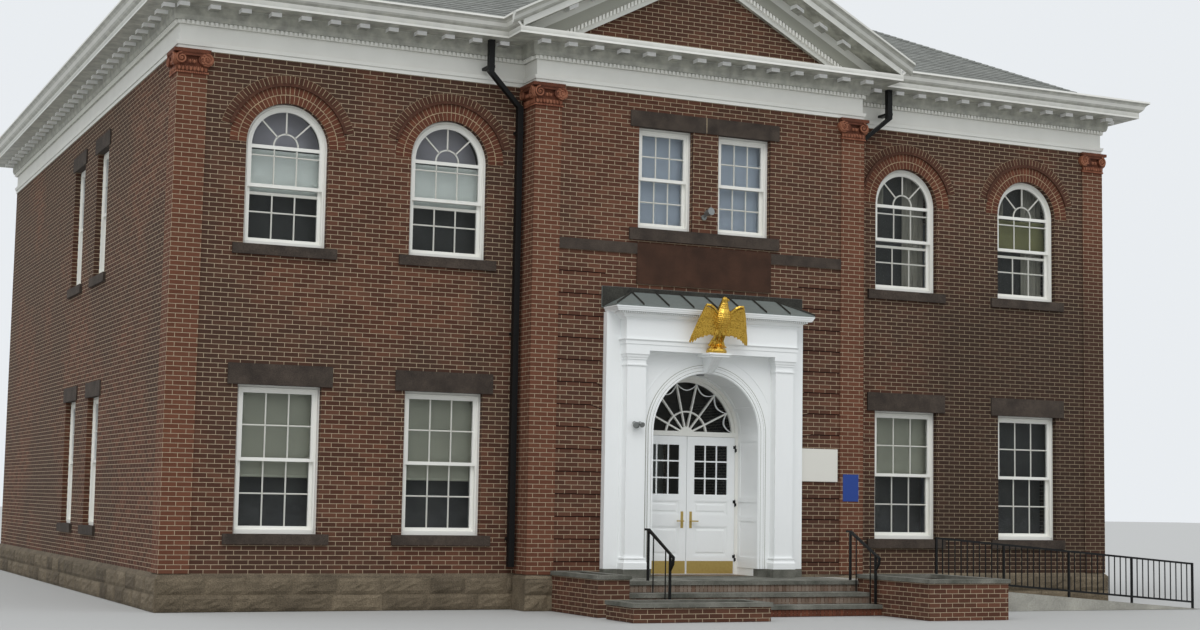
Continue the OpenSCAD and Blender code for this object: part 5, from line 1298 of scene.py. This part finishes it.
class TOWNHALL_OT_eagle_feathers(bpy.types.Operator):
    """Small lapped feathers on the breast and neck of the eagle, and its eyes"""

    bl_idname = "town_hall.eagle_feathers"
    bl_label = "Eagle feathers"

    def execute(self, context):
        made = Pile()
        leaned = Matrix.Scale(EAGLE_SCALE, 4) @ Matrix.Rotation(EAGLE_LEAN, 4, "X")
        pile = made.at(at(*PERCH) @ leaned)
        rows, per_row, top, drop = 15, 13, 0.795, 0.028
        for row in range(rows):
            z = top - row * drop
            y, wide, deep = self.girth(z)
            for i in range(per_row):
                angle = radians(-78 + 156 * (i + 0.5 * (row % 2)) / (per_row - 0.5))
                self.feather(pile, Vector((0, y, z)), angle, wide, deep)
        for sign in (-1, 1):
            self.bead(pile, Vector((0.02, sign * 0.036 - 0.03, 0.848)), 0.009)
        piece("eagle_breast_feathers", made, "gold_leaf")
        return {"FINISHED"}

    def girth(self, z):
        """Middle, half width and half depth of the body at a height"""
        for low, high in zip(EAGLE_RINGS, EAGLE_RINGS[1:]):
            if low[0] <= z <= high[0]:
                t = (z - low[0]) / (high[0] - low[0])
                return [a + (b - a) * t for a, b in zip(low[1:], high[1:])]
        return EAGLE_RINGS[0][1:]

    def feather(self, pile, middle, angle, wide, deep):
        """Leaf-shaped scale that hangs on the skin with its tip lifted"""
        out = Vector((sin(angle) / wide, -cos(angle) / deep, 0)).normalized()
        across, up = Vector((-out.y, out.x, 0)), Vector((0, 0, 1))
        root = middle + Vector((sin(angle) * wide, -cos(angle) * deep, 0)) - out * 0.004
        half, tall = 0.0095 + 0.07 * wide, 0.038
        outline = [(0.0, 0.0, 0.002), (half, -0.35 * tall, 0.006), (0.75 * half, -0.75 * tall, 0.009),
                   (0.0, -tall, 0.012), (-0.75 * half, -0.75 * tall, 0.009), (-half, -0.35 * tall, 0.006)]
        rib, back = (0.0, -0.5 * tall, 0.013), [(u, v, -0.002) for u, v, w in outline]
        points = [root + across * u + up * v + out * w for u, v, w in (*outline, rib, *back)]
        pairs = [(i, (i + 1) % 6) for i in range(6)]
        faces = [(a, b, 6) for a, b in pairs] + [(a, b, 7 + b, 7 + a) for a, b in pairs]
        pile.add(points, [*faces, range(7, 13)])

    def bead(self, pile, centre, radius):
        """Eight-sided ball"""
        count = 8
        level = 0.5
        top, ring = Vector((0, 0, radius)), radius * cos(asin(level))
        turns = [2 * pi * i / count for i in range(count)]
        points = [centre + top, centre - top]
        points += [centre + Vector((ring * cos(a), ring * sin(a), 0)) + top * side
                   for side in (level, -level) for a in turns]
        pairs = [(2 + i, 2 + (i + 1) % count) for i in range(count)]
        pile.add(points, [(0, a, b) for a, b in pairs] + [(1, count + a, count + b) for a, b in pairs]
                 + [(a, b, count + b, count + a) for a, b in pairs])


class TOWNHALL_OT_capitals(bpy.types.Operator):
    """Rolls of the scrolls, eggs between them and a bead row on each Ionic capital"""

    bl_idname = "town_hall.capitals"
    bl_label = "Capitals"

    def execute(self, context):
        pile = Pile()
        scroll_r, scroll_z, out = 0.095, 7.83, 0.074
        for sign in (-1, 1):
            for corner_x, corner_y, back in ((BAY_HALF, BAY_Y, 0.48), (HALF_W, WING_Y, 0.42)):
                # Front face, then the outer side, each drawn from the pilaster's outer corner
                front = at(sign * corner_x, corner_y) @ Matrix.Diagonal((-sign, 1, 1, 1))
                for place, low, high, tuck, bead_x, bead_end in (
                        (front, -0.065, 0.435, 0.06, -0.02, 0.42),
                        (front @ at(0, 0, 0, -pi / 2), -back, 0.065, 0, -0.4, 0.02)):
                    face = pile.at(place)
                    inner = high - scroll_r + tuck
                    self.spiral(face, low + scroll_r, -out, scroll_z, scroll_r, 1)
                    self.spiral(face, inner, -out, scroll_z, scroll_r, -1)
                    round_bar(face, (inner, -0.001, scroll_z), (inner, 0.002 - out, scroll_z),
                              scroll_r, sides=28)
                    self.eggs(face, low + 2 * scroll_r, high - 2 * scroll_r, -0.05, scroll_z - 0.035)
                    self.eggs(face, bead_x, bead_end, -0.03, 7.695, 0.02, 0.036, 0.012)
                    for i in range(17):
                        x = bead_x + i * (bead_end - bead_x) / 16
                        face.box(x - 0.009, x + 0.009, -0.041, -0.03, 7.629, 7.651)
        # The ornament takes the lighter terracotta as a painted highlight
        piece("capital_ornament", pile, "rubbed_terracotta")
        return {"FINISHED"}

    def spiral(self, pile, x, y, z, radius, way):
        """Half-round roll that winds in to the eye, ending at the top of the outer turn"""
        steps, turns, roll = 40, 1.6, 0.014
        loops = []
        for i in range(steps + 1):
            t = i / steps
            reach, size = (radius - roll) * (1 - 0.8 * t), roll * (1 - 0.45 * t)
            out = outward(pi / 2 + way * 2 * pi * turns * t)
            loops.append([out * (reach + share * size) + Vector((x, y - lift * size, z))
                          for share, lift in ((-1, 0), (-0.6, 1), (0.6, 1), (1, 0))])
        pile.sweep(loops)
        round_bar(pile, (x, y, z), (x, y - 0.014, z), 0.02, 0.012, 12)

    def eggs(self, pile, x0, x1, y, z, wide=0.019, tall=0.028, deep=0.022):
        """Eggs or leaves in their cups, side by side"""
        if x1 - x0 < 0.05:
            return
        count = max(1, round((x1 - x0) / 0.055))
        step = (x1 - x0) / count
        turns = [2 * pi * k / 10 for k in range(10)]
        rounds = [(t, sqrt(1 - (0.97 * t) ** 2)) for t in (0.0, 0.35, 0.7, 1.0)]
        for i in range(count):
            middle = x0 + (i + 0.5) * step
            pile.sweep([[(middle + wide * share * cos(a), y - deep * t, z + tall * share * sin(a))
                         for a in turns] for t, share in rounds])
            for x in (middle - 0.44 * step, middle + 0.44 * step):
                dart = [(x - 0.003, z + tall), (x + 0.003, z + tall), (x, z - tall)]
                pile.prism(dart, 1, y - 0.7 * deep, y)


class TOWNHALL_OT_fittings(bpy.types.Operator):
    """Twin spotlight, floodlight, bare sign plates and the lamp under the arch"""

    bl_idname = "town_hall.fittings"
    bl_label = "Fittings"

    def execute(self, context):
        lamps = Pile()
        crown = ARCH_Z + ARCH_R
        twin = lamps.at(at(-1.305, BAY_Y - PORTAL_P + 0.04, 2.80))
        round_bar(twin, (0, 0, 0), (0, -0.025, 0), 0.05)
        for x, out in ((-0.045, 0.13), (0.045, 0.11)):
            round_bar(twin, (0, -0.02, 0.01), (x, -0.05, 0.02), 0.012)
            round_bar(twin, (x, -0.03, 0.03), (1.3 * x, -out, 0), 0.03, 0.042)
        for start, end, radius, far_radius in (
                ((-0.03, 0, 6.12), (-0.03, -0.03, 6.12), 0.045, 0.045),
                ((-0.03, -0.02, 6.12), (-0.015, -0.10, 6.16), 0.014, 0.014),
                ((-0.015, -0.06, 6.18), (0.005, -0.20, 6.20), 0.04, 0.062),
                ((0, 0.1, crown - 0.001), (0, 0.1, crown - 0.03), 0.07, 0.055)):
            round_bar(lamps.at(at(0, BAY_Y)), start, end, radius, far_radius)
        piece("wall_lamps", lamps, "grey_casting")
        for name, made_of, sides, out, thick, edge in (
                ("blank_sign_plate", "sign_enamel", (1.77, 2.475, 2.007, 2.535), 0, 0.018, 0.006),
                ("blank_blue_plate", "blue_enamel", (2.57, 2.868, 1.70, 2.137), 0.02, 0.006, 0.004)):
            plate = Pile()
            frustum(plate, *sides, BAY_Y - out, BAY_Y - out - thick, edge)
            piece(name, plate, made_of)
        return {"FINISHED"}


class TOWNHALL_PT_panel(bpy.types.Panel):
    """Lists the steps that dress the building"""

    bl_idname = "TOWNHALL_PT_panel"
    bl_label = "Town hall"
    bl_space_type = "VIEW_3D"
    bl_region_type = "UI"
    bl_category = "Town hall"

    def draw(self, context):
        for step in STEPS:
            self.layout.operator(step.bl_idname)
        for group in (context.scene.town_hall_sizes, context.scene.town_hall_colours):
            for name in group.bl_rna.properties.keys():
                if name not in ("rna_type", "name"):
                    self.layout.prop(group, name)


STEPS = (TOWNHALL_OT_stage, TOWNHALL_OT_finishes, TOWNHALL_OT_window_bars, TOWNHALL_OT_blinds,
         TOWNHALL_OT_brick_arches, TOWNHALL_OT_base_stones, TOWNHALL_OT_cornice, TOWNHALL_OT_roofing,
         TOWNHALL_OT_hood, TOWNHALL_OT_portal_trim, TOWNHALL_OT_door_trim, TOWNHALL_OT_entrance_works,
         TOWNHALL_OT_eagle_feathers, TOWNHALL_OT_capitals, TOWNHALL_OT_fittings)
CLASSES = (TownHallSizes, TownHallColours, *STEPS, TOWNHALL_PT_panel)


def register():
    for each in CLASSES:
        bpy.utils.register_class(each)
    bpy.types.Scene.town_hall_sizes = bpy.props.PointerProperty(type=TownHallSizes)
    bpy.types.Scene.town_hall_colours = bpy.props.PointerProperty(type=TownHallColours)


def unregister():
    del bpy.types.Scene.town_hall_colours
    del bpy.types.Scene.town_hall_sizes
    for each in reversed(CLASSES):
        bpy.utils.unregister_class(each)


def main():
    register()
    for step in STEPS:
        getattr(bpy.ops.town_hall, step.bl_idname.split(".")[1])()
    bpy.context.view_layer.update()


if __name__ == "__main__":
    main()
